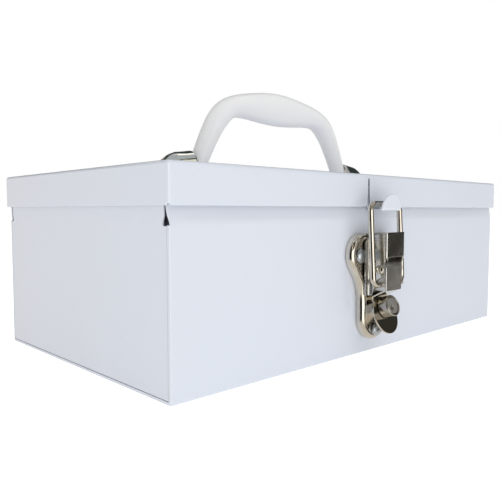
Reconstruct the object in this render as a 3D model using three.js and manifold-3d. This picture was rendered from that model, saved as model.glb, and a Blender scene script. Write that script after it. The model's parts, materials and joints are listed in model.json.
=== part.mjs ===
// Sewing box with a rear-hinged lid, two cantilever trays, a folding handle and a locking draw latch.
// Millimetres, +Z up, front of the box towards -Y, origin at the bottom centre of the body.
import * as THREE from 'three';
import { mergeVertices } from 'three/addons/utils/BufferGeometryUtils.js';
import Module from 'manifold-3d';

const wasm = await Module();
wasm.setup();

// ---------------------------------------------------------------- driving dimensions
const bodyLength = 301;          // outside, along X
const bodyDepth = 169;           // outside, along Y
const rimHeight = 96;            // top edge of the body walls
const sheet = 0.9;               // steel sheet of body and lid
const gap = 0.3;                 // clearance left between pieces that touch
const rimRecess = 1.4;           // how far front and rear walls step in under the lid
const joggleLow = 77.2;          // height where the step begins
const joggleHigh = 81.8;         // height where the step ends
const cornerReturn = 1.1;        // front and rear walls cover this much of each corner
const bottomLip = 1.7;           // upturned lip of the bottom under each end wall
const rimNotch = 2;            // end wall edge stands this far back beside the stepped rim
const seamFlange = 12;           // weld flange of an end wall along the front and rear walls

const lidOverhang = 1.8;         // lid outside the body, each side
const lidTop = 103;              // outside height of the lid
const lidFlange = 18.6;          // depth of the lid's skirt
const lidFold = 1.6;             // outside radius of the lid's folds
const slitX = -12.6;             // slit in the lid's front skirt
const slitWidth = 0.6;
const slitTop = 2.6;             // uncut height above the slit

const hingeX = 95;               // centre of each hinge from the middle of the box
const hingeWidth = 42;
const knuckleRadius = 2.6;
const hingePinRadius = 1.3;
const leafThickness = 1.2;
const bodyLeafHeight = 24;
const lidLeafHeight = 16;
const hingeAxisOut = 3.5;        // hinge axis behind the rear wall
const hingeAxisDrop = 2.5;       // hinge axis below the lid's skirt

const armPitch = 37.5;           // pivot spacing along an arm
const armPivotBack = 60;         // fixed arm pivot in front of the hinge axis
const armPivotDrop = 26;         // fixed arm pivot below the hinge axis
const armWidth = 11;
const armThickness = 1.5;
const bracketThickness = 1.4;
const linkGap = 0.5;             // side clearance between moving strips
const pivotRadius = 2.2;
const pivotClearance = 0.3;
const pivotHeadRadius = 3.6;
const pivotHeadThickness = 0.9;
const pivotShoulder = 3.2;       // radius of the spacing shoulder

const traySheet = 0.8;
const trayFrontGap = 1.9;        // tray to front wall
const upperTrayFloor = 66;
const upperTrayRim = 94.5;
const upperTrayTail = 15;        // upper tray behind its lid pivot
const lowerTrayFloor = 30;
const lowerTrayRim = 61.5;
const lowerTrayTail = 7;         // lower tray behind the upper one
const earSetback = 2;            // lower tray's ears start this far behind the upper tray
const trayGap = 2.5;             // tray end to arm
const trayStep = 2.8;            // lower tray is shorter than the upper one, each end
const trayEarHalf = 6.5;
const dividerGap = 0.3;
const upperDividers = 3;
const lowerDividers = 2;

const handleAxisRise = 6.8;      // handle pivot above the lid
const gripTop = 59;              // crown of the grip above the lid
const hoodInner = 74;            // mouth of each hood from the middle
const hoodLength = 25;
const hoodHalfWidth = 8.6;
const hoodHeight = 15.3;
const hoodWall = 1.3;
const hoodMouth = 5;             // depth of the hood's open mouth
const handlePinRadius = 2;
const handlePinReach = 7;      // pin inside the handle foot
const screwRadius = 1.8;
const screwHeadRadius = 3.6;
const screwHeadThickness = 1.1;

const latchX = -9;               // centre line of the latch
const plateProud = 5;            // face of the base plate from the wall
const plateSheet = 1;
const plateBottom = 7.8;
const plateTop = 69.6;
const plateEndRadius = 13;
const plateHalfWidth = 23.5;
const plateRivetX = 15.6;
const plateRivetHigh = 57;
const plateRivetLow = 14;
const rivetRadius = 1.9;
const rivetHeadRadius = 4;
const rivetHeadHeight = 1.8;

const bracketHalf = 9.1;         // outside half width of the latch bracket
const bracketSheet = 0.9;
const bracketProud = 17.5;
const bracketBottom = 34;
const bracketTop = 70.2;
const bracketWindow = 56.4;        // lower edge of the bracket's front wall
const bracketFoot = 3.4;
const leverAxisProud = 13.5;
const leverAxisZ = 49.5;
const leverProud = 16.6;
const leverSheet = 1;
const leverSideGap = 0.35;
const leverBottom = 37.6;
const leverPinRadius = 1.5;
const leverPinHead = 2.6;
const leverPinHeadHeight = 1.2;
const tabLean = 22;              // degrees that the thumb tab leans out at its foot
const discProud = 11.8;          // front of the tab at the centre of its disc
const discRadius = 10.8;
const discZ = 22.9;
const tabNeckTop = 11;           // top of the tab above the disc's centre, along the tab
const bailAxisProud = 12.6;
const bailAxisZ = 41;
const bailWire = 3.1;
const bailHalf = 14.3;           // centre line of a bail leg from the latch centre
const bailTopProud = 10;
const bailTopZ = 86;
const bailBend = 4;
const keeperHalf = 9.2;
const keeperSheet = 1;
const keeperProud = 13.6;        // front of the hook at its foot
const keeperLean = 0.8;          // the hook leans out this much at its tip
const keeperTip = 91.4;
const keeperShelf = 83.5;        // underside of the hook
const keeperUpright = 12;
const lockRise = 4;              // lock axis above the disc's centre, along the tab
const lockRadius = 6.2;
const lockFace = 6.6;            // face of the lock in front of the tab
const lockNeckRadius = 4.4;
const lockTail = 0.4;            // neck of the lock behind the tab
const plugRadius = 4.6;
const plugShaft = 2.7;
const plugSeat = 1.2;            // floor of the plug's bore in front of the tab
const plugTail = 0.4;            // plug shaft behind the neck
const plugFace = 0.4;            // plug face behind the cylinder face
const keyholeX = -1.4;           // crossing of the keyhole's slots from the lock axis
const keyholeZ = -1.6;
const keyholeDepth = 2.5;
const camThickness = 1;
const camReach = 8;

// ---------------------------------------------------------------- places worked out from them
const halfLength = bodyLength / 2;
const halfDepth = bodyDepth / 2;
const skirtLow = lidTop - lidFlange;
const lidHalfLength = halfLength + lidOverhang;
const lidHalfDepth = halfDepth + lidOverhang;
const rimOuter = halfDepth - rimRecess;
const hingeY = halfDepth + hingeAxisOut;
const hingeZ = skirtLow - hingeAxisDrop;
const armPivotY = hingeY - armPivotBack;
const armPivotZ = hingeZ - armPivotDrop;
const bracketOuterX = halfLength - sheet - gap;
const bracketInnerX = bracketOuterX - bracketThickness;
const armOuterX = bracketInnerX - linkGap;
const armInnerX = armOuterX - armThickness;
const upperTrayX = armInnerX - trayGap;
const lowerTrayX = upperTrayX - trayStep;
const trayFront = -(rimOuter - sheet - trayFrontGap);
const upperTrayRear = hingeY - 2 * armPitch + upperTrayTail;
const lowerTrayRear = upperTrayRear + lowerTrayTail;
const handleZ = lidTop + handleAxisRise;

// ---------------------------------------------------------------- materials
const paint = { color: 0xe4e8f0, roughness: 0.18, metalness: 0.0 };
const trayPaint = { color: 0xdde1e8, roughness: 0.25, metalness: 0.0 };
const nickel = { color: 0xb9b2a4, roughness: 0.22, metalness: 1.0 };
const satin = { color: 0x8d8880, roughness: 0.38, metalness: 1.0 };
const chrome = { color: 0xc8cacc, roughness: 0.08, metalness: 1.0 };
const zinc = { color: 0xaab2ba, roughness: 0.35, metalness: 1.0 };
const plastic = { color: 0xf2f2f2, roughness: 0.3, metalness: 0.0 };

// ---------------------------------------------------------------- shape helpers
const alongX = new THREE.Matrix4().makeBasis(
  new THREE.Vector3(0, 1, 0), new THREE.Vector3(0, 0, 1), new THREE.Vector3(1, 0, 0));
const alongFront = new THREE.Matrix4().makeBasis(
  new THREE.Vector3(1, 0, 0), new THREE.Vector3(0, 0, 1), new THREE.Vector3(0, -1, 0));

function solid(geometry) {
  const bare = geometry.clone();
  bare.deleteAttribute('normal');
  bare.deleteAttribute('uv');
  const merged = mergeVertices(bare, 1e-4);
  return new wasm.Manifold(new wasm.Mesh({
    numProp: 3,
    vertProperties: new Float32Array(merged.attributes.position.array),
    triVerts: new Uint32Array(merged.index.array),
  }));
}

function block(x0, x1, y0, y1, z0, z1) {
  const box = new THREE.BoxGeometry(x1 - x0, y1 - y0, z1 - z0);
  box.translate((x0 + x1) / 2, (y0 + y1) / 2, (z0 + z1) / 2);
  return solid(box);
}

function outline(points) {
  const shape = new THREE.Shape();
  shape.moveTo(points[0][0], points[0][1]);
  for (const [u, v] of points.slice(1)) shape.lineTo(u, v);
  shape.closePath();
  return shape;
}

// A shape drawn in (Y, Z) and carried along X from x0 to x1.
function bar(shape, x0, x1, steps = 6) {
  const geometry = new THREE.ExtrudeGeometry(shape, { depth: x1 - x0, bevelEnabled: false, curveSegments: steps });
  geometry.applyMatrix4(alongX);
  geometry.translate(x0, 0, 0);
  return solid(geometry);
}

// A shape drawn in (X, Z) and carried outwards from the front wall, from proud p0 to p1.
function frontPlate(shape, p0, p1, steps = 8) {
  const geometry = new THREE.ExtrudeGeometry(shape, { depth: p1 - p0, bevelEnabled: false, curveSegments: steps });
  geometry.applyMatrix4(alongFront);
  geometry.translate(0, -(halfDepth + p0), 0);
  return solid(geometry);
}

function rodX(radius, x0, x1, y, z, sides = 20) {
  const geometry = new THREE.CylinderGeometry(radius, radius, x1 - x0, sides);
  geometry.rotateZ(Math.PI / 2);
  geometry.translate((x0 + x1) / 2, y, z);
  return solid(geometry);
}

function rodFront(radius, p0, p1, x, z, sides = 24) {
  const geometry = new THREE.CylinderGeometry(radius, radius, p1 - p0, sides);
  geometry.translate(x, -(halfDepth + (p0 + p1) / 2), z);
  return solid(geometry);
}

// The thumb tab's own frame: its front face is the plane y = 0, with the disc's centre at the origin.
const tabFrame = new THREE.Matrix4()
  .makeRotationX(-(tabLean * Math.PI) / 180)
  .setPosition(latchX, -(halfDepth + discProud), discZ);

function onTab(geometry) {
  geometry.applyMatrix4(tabFrame);
  return solid(geometry);
}

function tabPlate(shape, p0, p1, steps = 8) {
  const geometry = new THREE.ExtrudeGeometry(shape, { depth: p1 - p0, bevelEnabled: false, curveSegments: steps });
  geometry.applyMatrix4(alongFront);
  geometry.translate(0, -p0, 0);
  return onTab(geometry);
}

function tabRod(radius, p0, p1, rise, sides = 24) {
  const geometry = new THREE.CylinderGeometry(radius, radius, p1 - p0, sides);
  geometry.translate(0, -(p0 + p1) / 2, rise);
  return onTab(geometry);
}

function tabBlock(x0, x1, p0, p1, z0, z1) {
  const box = new THREE.BoxGeometry(x1 - x0, p1 - p0, z1 - z0);
  box.translate((x0 + x1) / 2, -(p0 + p1) / 2, (z0 + z1) / 2);
  return onTab(box);
}

function rodZ(radius, z0, z1, x, y, sides = 20) {
  const geometry = new THREE.CylinderGeometry(radius, radius, z1 - z0, sides);
  geometry.rotateX(Math.PI / 2);
  geometry.translate(x, y, (z0 + z1) / 2);
  return solid(geometry);
}

function join(...solids) {
  return solids.reduce((whole, next) => whole.add(next));
}

function cut(whole, ...tools) {
  return tools.reduce((rest, tool) => rest.subtract(tool), whole);
}

const sewingBox = new THREE.Group();

function piece(name, shape, look) {
  const { vertProperties, triVerts } = shape.getMesh();
  const geometry = new THREE.BufferGeometry();
  geometry.setAttribute('position', new THREE.BufferAttribute(new Float32Array(vertProperties), 3));
  geometry.setIndex(new THREE.BufferAttribute(new Uint32Array(triVerts), 1));
  geometry.computeVertexNormals();
  const mesh = new THREE.Mesh(geometry, new THREE.MeshStandardMaterial(look));
  mesh.name = name;
  sewingBox.add(mesh);
}

// X ranges given for the left side are mirrored for the right one.
const sides = [['left', -1], ['right', 1]];
const span = (side, a, b) => (side < 0 ? [-b, -a] : [a, b]);

// ---------------------------------------------------------------- body
// Front wall, bottom and rear wall are one folded sheet with a stepped rim front and rear.
const inner = (y, side) => side * (y - sheet);
function wallPath(side) {
  return [
    [side * halfDepth, 1.2], [side * halfDepth, joggleLow], [side * rimOuter, joggleHigh], [side * rimOuter, rimHeight],
    [inner(rimOuter, side), rimHeight], [inner(rimOuter, side), joggleHigh + 0.3], [inner(halfDepth, side), joggleLow + 0.3],
    [inner(halfDepth, side), sheet + 0.6],
  ];
}
const wrapProfile = outline([
  [-(halfDepth - 1.2), 0], [halfDepth - 1.2, 0], ...wallPath(1),
  [halfDepth - sheet - 0.6, sheet], [-(halfDepth - sheet - 0.6), sheet], ...wallPath(-1).reverse(),
]);
let bodyShell = bar(wrapProfile, -halfLength, halfLength);
for (const [, side] of sides) {
  const [x0, x1] = span(side, halfLength - sheet, halfLength);
  const seamTop = joggleLow - 0.9;
  bodyShell = join(bodyShell,
    block(x0, x1, -(halfDepth - 0.01), -(halfDepth - cornerReturn), sheet - 0.1, seamTop),
    block(x0, x1, halfDepth - cornerReturn, halfDepth - 0.01, sheet - 0.1, seamTop),
    block(x0, x1, -(halfDepth - cornerReturn + 0.01), halfDepth - cornerReturn + 0.01, 0, bottomLip));
}
const plateRivets = [[latchX - plateRivetX, plateRivetHigh], [latchX + plateRivetX, plateRivetHigh], [latchX, plateRivetLow]];
for (const [x, z] of plateRivets) {
  bodyShell = cut(bodyShell, rodFront(rivetRadius + gap, -2 * sheet, sheet, x, z));
}
piece('body_shell', bodyShell, paint);

// End walls: a flat panel between the corner returns, with weld flanges folded behind the front and rear walls.
for (const [name, side] of sides) {
  const panelY = halfDepth - cornerReturn - gap;
  const rimY = rimOuter - sheet - rimNotch + 0.6;
  const notchZ = joggleLow - 1.4;
  const foot = bottomLip + gap;
  const panel = outline([
    [-panelY, foot], [panelY, foot], [panelY, notchZ], [rimY, notchZ + 2.2], [rimY, rimHeight],
    [-rimY, rimHeight], [-rimY, notchZ + 2.2], [-panelY, notchZ],
  ]);
  const [x0, x1] = span(side, halfLength - sheet, halfLength);
  let wall = bar(panel, x0, x1);
  const flangeTop = notchZ - 1;
  for (const end of [-1, 1]) {
    const [sx0, sx1] = span(side, halfLength - 2 * sheet - gap, halfLength - sheet - gap);
    const [fx0, fx1] = span(side, halfLength - seamFlange, halfLength - sheet - gap);
    const [jx0, jx1] = span(side, halfLength - 2 * sheet - gap, halfLength - sheet + 0.05);
    const faceY = halfDepth - sheet - gap;
    const near = [end * (panelY - 2.5), end * (panelY - 0.5)].sort((a, b) => a - b);
    const back = [end * (panelY - 2.5), end * faceY].sort((a, b) => a - b);
    const flat = [end * (faceY - sheet), end * faceY].sort((a, b) => a - b);
    wall = join(wall,
      block(jx0, jx1, near[0], near[1], foot + 2, flangeTop),
      block(sx0, sx1, back[0], back[1], foot + 2, flangeTop),
      block(fx0, fx1, flat[0], flat[1], foot + 2, flangeTop));
  }
  piece(`end_wall_${name}`, wall, paint);
}

// ---------------------------------------------------------------- lid
const fold = lidFold;
const topProfile = new THREE.Shape();
topProfile.moveTo(-lidHalfDepth, skirtLow);
topProfile.lineTo(-lidHalfDepth, lidTop - fold);
topProfile.absarc(-lidHalfDepth + fold, lidTop - fold, fold, Math.PI, Math.PI / 2, true);
topProfile.lineTo(lidHalfDepth - fold, lidTop);
topProfile.absarc(lidHalfDepth - fold, lidTop - fold, fold, Math.PI / 2, 0, true);
topProfile.lineTo(lidHalfDepth, skirtLow);
topProfile.closePath();
const endProfile = new THREE.Shape();
endProfile.moveTo(-lidHalfLength, -lidHalfDepth - 1);
endProfile.lineTo(-lidHalfLength, lidTop - fold);
endProfile.absarc(-lidHalfLength + fold, lidTop - fold, fold, Math.PI, Math.PI / 2, true);
endProfile.lineTo(lidHalfLength - fold, lidTop);
endProfile.absarc(lidHalfLength - fold, lidTop - fold, fold, Math.PI / 2, 0, true);
endProfile.lineTo(lidHalfLength, -lidHalfDepth - 1);
endProfile.closePath();
const endSpan = new THREE.ExtrudeGeometry(endProfile, { depth: 4 * halfDepth, bevelEnabled: false, curveSegments: 6 });
endSpan.applyMatrix4(alongFront);
endSpan.translate(0, 2 * halfDepth, 0);
const planShape = new THREE.Shape();
const cornerRadius = 2;
planShape.moveTo(-lidHalfLength + cornerRadius, -lidHalfDepth);
planShape.absarc(lidHalfLength - cornerRadius, -lidHalfDepth + cornerRadius, cornerRadius, -Math.PI / 2, 0, false);
planShape.absarc(lidHalfLength - cornerRadius, lidHalfDepth - cornerRadius, cornerRadius, 0, Math.PI / 2, false);
planShape.absarc(-lidHalfLength + cornerRadius, lidHalfDepth - cornerRadius, cornerRadius, Math.PI / 2, Math.PI, false);
planShape.absarc(-lidHalfLength + cornerRadius, -lidHalfDepth + cornerRadius, cornerRadius, Math.PI, 1.5 * Math.PI, false);
const plan = new THREE.ExtrudeGeometry(planShape, { depth: lidFlange + 2, bevelEnabled: false, curveSegments: 5 });
plan.translate(0, 0, skirtLow);
let lidShell = bar(topProfile, -lidHalfLength, lidHalfLength).intersect(solid(endSpan)).intersect(solid(plan));
lidShell = cut(lidShell,
  block(-lidHalfLength + sheet, lidHalfLength - sheet, -lidHalfDepth + sheet, lidHalfDepth - sheet,
    skirtLow - 1, lidTop - sheet),
  block(slitX - slitWidth / 2, slitX + slitWidth / 2, -lidHalfDepth - 1, -lidHalfDepth + 2 * sheet,
    skirtLow - 1, lidTop - slitTop));
const hoodOuter = hoodInner + hoodLength;
const screwPlaces = [hoodInner + hoodMouth + 4, hoodOuter - 8];
for (const [, side] of sides) {
  for (const reach of screwPlaces) {
    lidShell = cut(lidShell, rodZ(screwRadius + gap, lidTop - 2 * sheet, lidTop + sheet, side * reach, 0));
  }
}
piece('lid_shell', lidShell, paint);

// ---------------------------------------------------------------- rear hinges
const knuckles = 3;
for (const [name, side] of sides) {
  const x0 = side * hingeX - hingeWidth / 2;
  const knuckle = hingeWidth / knuckles;
  const leafIn = halfDepth + gap;
  const lidLeafIn = lidHalfDepth + gap;
  let bodyLeaf = block(x0, x0 + hingeWidth, leafIn, leafIn + leafThickness,
    hingeZ - bodyLeafHeight, hingeZ - knuckleRadius - gap);
  let lidLeaf = block(x0, x0 + hingeWidth, lidLeafIn, lidLeafIn + leafThickness,
    hingeZ + knuckleRadius + gap, hingeZ + lidLeafHeight);
  for (let k = 0; k < knuckles; k += 1) {
    const k0 = x0 + k * knuckle + gap / 2;
    const k1 = x0 + (k + 1) * knuckle - gap / 2;
    if (k % 2 === 0) {
      bodyLeaf = join(bodyLeaf, rodX(knuckleRadius, k0, k1, hingeY, hingeZ),
        block(k0, k1, leafIn, leafIn + leafThickness, hingeZ - knuckleRadius - 1, hingeZ));
    } else {
      lidLeaf = join(lidLeaf, rodX(knuckleRadius, k0, k1, hingeY, hingeZ),
        block(k0, k1, lidLeafIn, lidLeafIn + leafThickness, hingeZ, hingeZ + knuckleRadius + 1));
    }
  }
  const bore = rodX(hingePinRadius + gap, x0 - 1, x0 + hingeWidth + 1, hingeY, hingeZ, 16);
  piece(`hinge_body_leaf_${name}`, cut(bodyLeaf, bore), nickel);
  piece(`hinge_lid_leaf_${name}`, cut(lidLeaf, bore), nickel);
  piece(`hinge_pin_${name}`, rodX(hingePinRadius, x0 - 0.6, x0 + hingeWidth + 0.6, hingeY, hingeZ, 16), nickel);
}

// ---------------------------------------------------------------- cantilever trays
// A tray is a pan; its ears carry the pivots that the arms and the lid brackets hold.
const pivots = {
  fixed: [armPivotY, armPivotZ],
  lowerArm: [armPivotY - armPitch, armPivotZ],
  upperArm: [armPivotY - 2 * armPitch, armPivotZ],
  lowerLid: [hingeY - armPitch, hingeZ],
  upperLid: [hingeY - 2 * armPitch, hingeZ],
};

function roundedStrip(y0, y1, z, half) {
  const strip = new THREE.Shape();
  strip.absarc(y1, z, half, -Math.PI / 2, Math.PI / 2, false);
  strip.absarc(y0, z, half, Math.PI / 2, 1.5 * Math.PI, false);
  strip.closePath();
  return strip;
}

function pan(halfX, y0, y1, z0, z1) {
  return cut(block(-halfX, halfX, y0, y1, z0, z1),
    block(-halfX + traySheet, halfX - traySheet, y0 + traySheet, y1 - traySheet, z0 + traySheet, z1 + 1));
}

const pivotHole = (x0, x1, [y, z]) => rodX(pivotRadius + pivotClearance, x0 - 1, x1 + 1, y, z, 16);

function tray(name, halfX, rear, floor, rim, ear, earPivot, wallPivot, dividers) {
  let shape = pan(halfX, trayFront, rear, floor, rim);
  for (const [, side] of sides) {
    const [x0, x1] = span(side, halfX - traySheet, halfX);
    shape = join(shape, bar(ear, x0, x1, 5));
    shape = cut(shape, pivotHole(x0, x1, earPivot), pivotHole(x0, x1, wallPivot));
  }
  piece(name, shape, trayPaint);
  const bay = (2 * (halfX - traySheet)) / (dividers + 1);
  for (let k = 1; k <= dividers; k += 1) {
    const x = -halfX + traySheet + k * bay;
    piece(`${name}_divider_${k}`,
      block(x - traySheet / 2, x + traySheet / 2, trayFront + traySheet + dividerGap, rear - traySheet - dividerGap,
        floor + traySheet + dividerGap, rim - 5), trayPaint);
  }
}

const [upperArmY, upperArmZ] = pivots.upperArm;
const upperEar = new THREE.Shape();
upperEar.moveTo(upperArmY - trayEarHalf - 4, upperTrayFloor + 2);
upperEar.lineTo(upperArmY - trayEarHalf, upperArmZ);
upperEar.absarc(upperArmY, upperArmZ, trayEarHalf, Math.PI, 2 * Math.PI, false);
upperEar.lineTo(upperArmY + trayEarHalf + 4, upperTrayFloor + 2);
upperEar.closePath();
tray('upper_tray', upperTrayX, upperTrayRear, upperTrayFloor, upperTrayRim,
  upperEar, pivots.upperArm, pivots.upperLid, upperDividers);

const [lowerLidY, lowerLidZ] = pivots.lowerLid;
const lowerEar = new THREE.Shape();
lowerEar.moveTo(upperTrayRear + earSetback, lowerTrayRim - 5);
lowerEar.lineTo(lowerTrayRear, lowerTrayRim - 5);
lowerEar.lineTo(lowerTrayRear, lowerTrayRim - 2.5);
lowerEar.lineTo(lowerLidY + trayEarHalf, lowerLidZ - 2);
lowerEar.absarc(lowerLidY, lowerLidZ, trayEarHalf, 0, 0.75 * Math.PI, false);
lowerEar.closePath();
tray('lower_tray', lowerTrayX, lowerTrayRear, lowerTrayFloor, lowerTrayRim,
  lowerEar, pivots.lowerLid, pivots.lowerArm, lowerDividers);

// A shouldered rivet through a tray wall and a strip, along X from the inner wall face outwards.
function pivotRivet(name, side, place, wallInner, wallOuter, stripInner, stripOuter) {
  const [y, z] = place;
  const between = (a, b, radius, n) => rodX(radius, ...span(side, a, b), y, z, n);
  const rivet = join(
    between(wallInner - gap - pivotHeadThickness, wallInner - gap, pivotHeadRadius, 20),
    between(wallInner - gap - 0.1, stripOuter + gap + 0.1, pivotRadius, 16),
    between(wallOuter + gap, stripInner - gap, pivotShoulder, 20),
    between(stripOuter + gap, stripOuter + gap + pivotHeadThickness, pivotHeadRadius, 20));
  piece(name, rivet, zinc);
}

for (const [name, side] of sides) {
  const [ax0, ax1] = span(side, armInnerX, armOuterX);
  const [bx0, bx1] = span(side, bracketInnerX, bracketOuterX);
  const arm = cut(bar(roundedStrip(pivots.upperArm[0], armPivotY, armPivotZ, armWidth / 2), ax0, ax1, 8),
    pivotHole(ax0, ax1, pivots.fixed), pivotHole(ax0, ax1, pivots.lowerArm), pivotHole(ax0, ax1, pivots.upperArm));
  piece(`arm_${name}`, arm, zinc);

  const plate = new THREE.Shape();
  plate.moveTo(armPivotY - 9, armPivotZ - 22);
  plate.lineTo(armPivotY + 22, armPivotZ - 22);
  plate.lineTo(armPivotY + 8, armPivotZ + 2);
  plate.absarc(armPivotY, armPivotZ, 8, 0, Math.PI, false);
  plate.closePath();
  piece(`arm_bracket_${name}`, cut(bar(plate, bx0, bx1, 5), pivotHole(bx0, bx1, pivots.fixed)), zinc);

  const fixedPin = join(
    rodX(pivotRadius, ...span(side, armInnerX - gap - 0.1, bracketOuterX), armPivotY, armPivotZ, 16),
    rodX(pivotHeadRadius + 0.6, ...span(side, armInnerX - gap - pivotHeadThickness, armInnerX - gap), armPivotY, armPivotZ));
  piece(`arm_pivot_${name}`, fixedPin, zinc);

  const lidPlate = new THREE.Shape();
  const [upperLidY, upperLidZ] = pivots.upperLid;
  lidPlate.moveTo(upperLidY - 7, lidTop - sheet - gap);
  lidPlate.lineTo(upperLidY - 7, upperLidZ);
  lidPlate.absarc(upperLidY, upperLidZ, 7, Math.PI, 1.5 * Math.PI, false);
  lidPlate.absarc(lowerLidY, lowerLidZ, 7, 1.5 * Math.PI, 2 * Math.PI, false);
  lidPlate.lineTo(lowerLidY + 7, lidTop - sheet - gap);
  lidPlate.closePath();
  const [tx0, tx1] = span(side, armInnerX, halfLength + 0.5);
  const lidBracket = join(bar(lidPlate, ax0, ax1, 5),
    block(tx0, tx1, upperLidY - 7, lowerLidY + 7, lidTop - sheet - gap - 1, lidTop - sheet - gap));
  piece(`lid_bracket_${name}`,
    cut(lidBracket, pivotHole(ax0, ax1, pivots.upperLid), pivotHole(ax0, ax1, pivots.lowerLid)), zinc);

  pivotRivet(`upper_tray_arm_rivet_${name}`, side, pivots.upperArm,
    upperTrayX - traySheet, upperTrayX, armInnerX, armOuterX);
  pivotRivet(`upper_tray_lid_rivet_${name}`, side, pivots.upperLid,
    upperTrayX - traySheet, upperTrayX, armInnerX, armOuterX);
  pivotRivet(`lower_tray_arm_rivet_${name}`, side, pivots.lowerArm,
    lowerTrayX - traySheet, lowerTrayX, armInnerX, armOuterX);
  pivotRivet(`lower_tray_lid_rivet_${name}`, side, pivots.lowerLid,
    lowerTrayX - traySheet, lowerTrayX, armInnerX, armOuterX);
}

// ---------------------------------------------------------------- handle
// Half of the grip, foot to middle: x, height below the crown, half thickness, half depth.
const gripStations = [
  [70.6, 57.6, 2.6, 2.8], [70.4, 56.2, 4.2, 4.3], [69.3, 53, 4.9, 5.0], [66.2, 46, 5.1, 5.2], [61.5, 36.5, 5.6, 5.6],
  [56.4, 27.6, 6.3, 6.2], [50.8, 21.2, 6.9, 6.9], [44.5, 16.2, 7.1, 7.5], [37, 14.2, 7.9, 8.0], [25, 12.4, 9.2, 8.4],
  [12, 11.2, 10.7, 8.5], [0, 11, 11, 8.5],
];
const ringSides = 20;

function loft(stations) {
  const positions = [];
  const index = [];
  stations.forEach(([x, z, thick, deep], k) => {
    const before = stations[Math.max(k - 1, 0)];
    const after = stations[Math.min(k + 1, stations.length - 1)];
    const along = new THREE.Vector2(after[0] - before[0], after[1] - before[1]).normalize();
    for (let s = 0; s < ringSides; s += 1) {
      const turn = (2 * Math.PI * s) / ringSides;
      const out = thick * Math.cos(turn);
      positions.push(x - along.y * out, deep * Math.sin(turn), z + along.x * out);
    }
  });
  const rings = stations.length;
  for (let k = 0; k < rings - 1; k += 1) {
    for (let s = 0; s < ringSides; s += 1) {
      const a = k * ringSides + s;
      const b = k * ringSides + ((s + 1) % ringSides);
      index.push(a, a + ringSides, b, b, a + ringSides, b + ringSides);
    }
  }
  const first = positions.length / 3;
  for (const [k, flip] of [[0, true], [rings - 1, false]]) {
    const [x, z] = stations[k];
    positions.push(x, 0, z);
    const centre = first + (flip ? 0 : 1);
    for (let s = 0; s < ringSides; s += 1) {
      const a = k * ringSides + s;
      const b = k * ringSides + ((s + 1) % ringSides);
      index.push(...(flip ? [centre, a, b] : [centre, b, a]));
    }
  }
  const geometry = new THREE.BufferGeometry();
  geometry.setAttribute('position', new THREE.BufferAttribute(new Float32Array(positions), 3));
  geometry.setIndex(index);
  return solid(geometry);
}

const crown = lidTop + gripTop;
const half = gripStations.map(([x, drop, thick, deep]) => [x, crown - drop, thick, deep]);
const mirrored = half.slice(0, -1).map(([x, z, thick, deep]) => [-x, z, thick, deep]);
let grip = loft([...mirrored, ...half.reverse()]);
for (const [, side] of sides) {
  grip = cut(grip, rodX(handlePinRadius + gap, ...span(side, hoodInner - handlePinReach, hoodOuter), 0, handleZ, 16));
}
piece('handle_grip', grip, plastic);

// Each hood is a domed casting: an arch section that rounds down to the lid at its outer end.
for (const [name, side] of sides) {
  const base = lidTop + gap;
  const dome = hoodHalfWidth;
  const arch = (inset, x0, x1) => {
    const shape = new THREE.Shape();
    const w = dome - inset;
    const h = hoodHeight - gap - inset;
    shape.moveTo(-w, base - inset);
    shape.lineTo(w, base - inset);
    shape.lineTo(w, base + h - w);
    shape.absarc(0, base + h - w, w, 0, Math.PI, false);
    shape.closePath();
    return bar(shape, ...span(side, x0, x1), 8);
  };
  const sideView = new THREE.Shape();
  const round = 11;
  sideView.moveTo(side * hoodInner, base - 1);
  sideView.lineTo(side * hoodInner, base + hoodHeight);
  sideView.lineTo(side * (hoodOuter - round - 4), base + hoodHeight - 1.6);
  sideView.quadraticCurveTo(side * (hoodOuter - 1), base + hoodHeight - 3, side * hoodOuter, base - 1);
  sideView.closePath();
  const topView = new THREE.Shape();
  topView.moveTo(side * hoodInner, -dome);
  topView.lineTo(side * hoodInner, dome);
  topView.lineTo(side * (hoodOuter - round), dome);
  topView.quadraticCurveTo(side * hoodOuter, dome, side * hoodOuter, 0);
  topView.quadraticCurveTo(side * hoodOuter, -dome, side * (hoodOuter - round), -dome);
  topView.closePath();
  const sideCut = new THREE.ExtrudeGeometry(sideView, { depth: 4 * dome, bevelEnabled: false, curveSegments: 7 });
  sideCut.applyMatrix4(alongFront);
  sideCut.translate(0, 2 * dome, 0);
  const topCut = new THREE.ExtrudeGeometry(topView, { depth: 2 * hoodHeight, bevelEnabled: false, curveSegments: 7 });
  topCut.translate(0, 0, base - 2);
  let hood = arch(0, hoodInner, hoodOuter).intersect(solid(sideCut)).intersect(solid(topCut));
  const deepEnd = hoodInner + hoodMouth;
  hood = cut(hood, arch(hoodWall, hoodInner - 1, deepEnd),
    rodX(handlePinRadius + gap, ...span(side, deepEnd - 1, hoodOuter - 6), 0, handleZ, 16));
  for (const reach of screwPlaces) {
    hood = cut(hood, rodZ(screwRadius + gap, base - 1, base + 3.6, side * reach, 0, 16));
  }
  piece(`handle_hood_${name}`, hood, chrome);
  piece(`handle_pin_${name}`,
    rodX(handlePinRadius, ...span(side, hoodInner - handlePinReach + gap, hoodOuter - 6 - gap), 0, handleZ, 16), zinc);
  screwPlaces.forEach((reach, k) => {
    const screw = join(
      rodZ(screwRadius, lidTop - sheet - gap - 0.1, base + 3.3, side * reach, 0, 16),
      rodZ(screwHeadRadius, lidTop - sheet - gap - screwHeadThickness, lidTop - sheet - gap, side * reach, 0));
    piece(`hood_screw_${name}_${k + 1}`, screw, zinc);
  });
}

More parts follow.
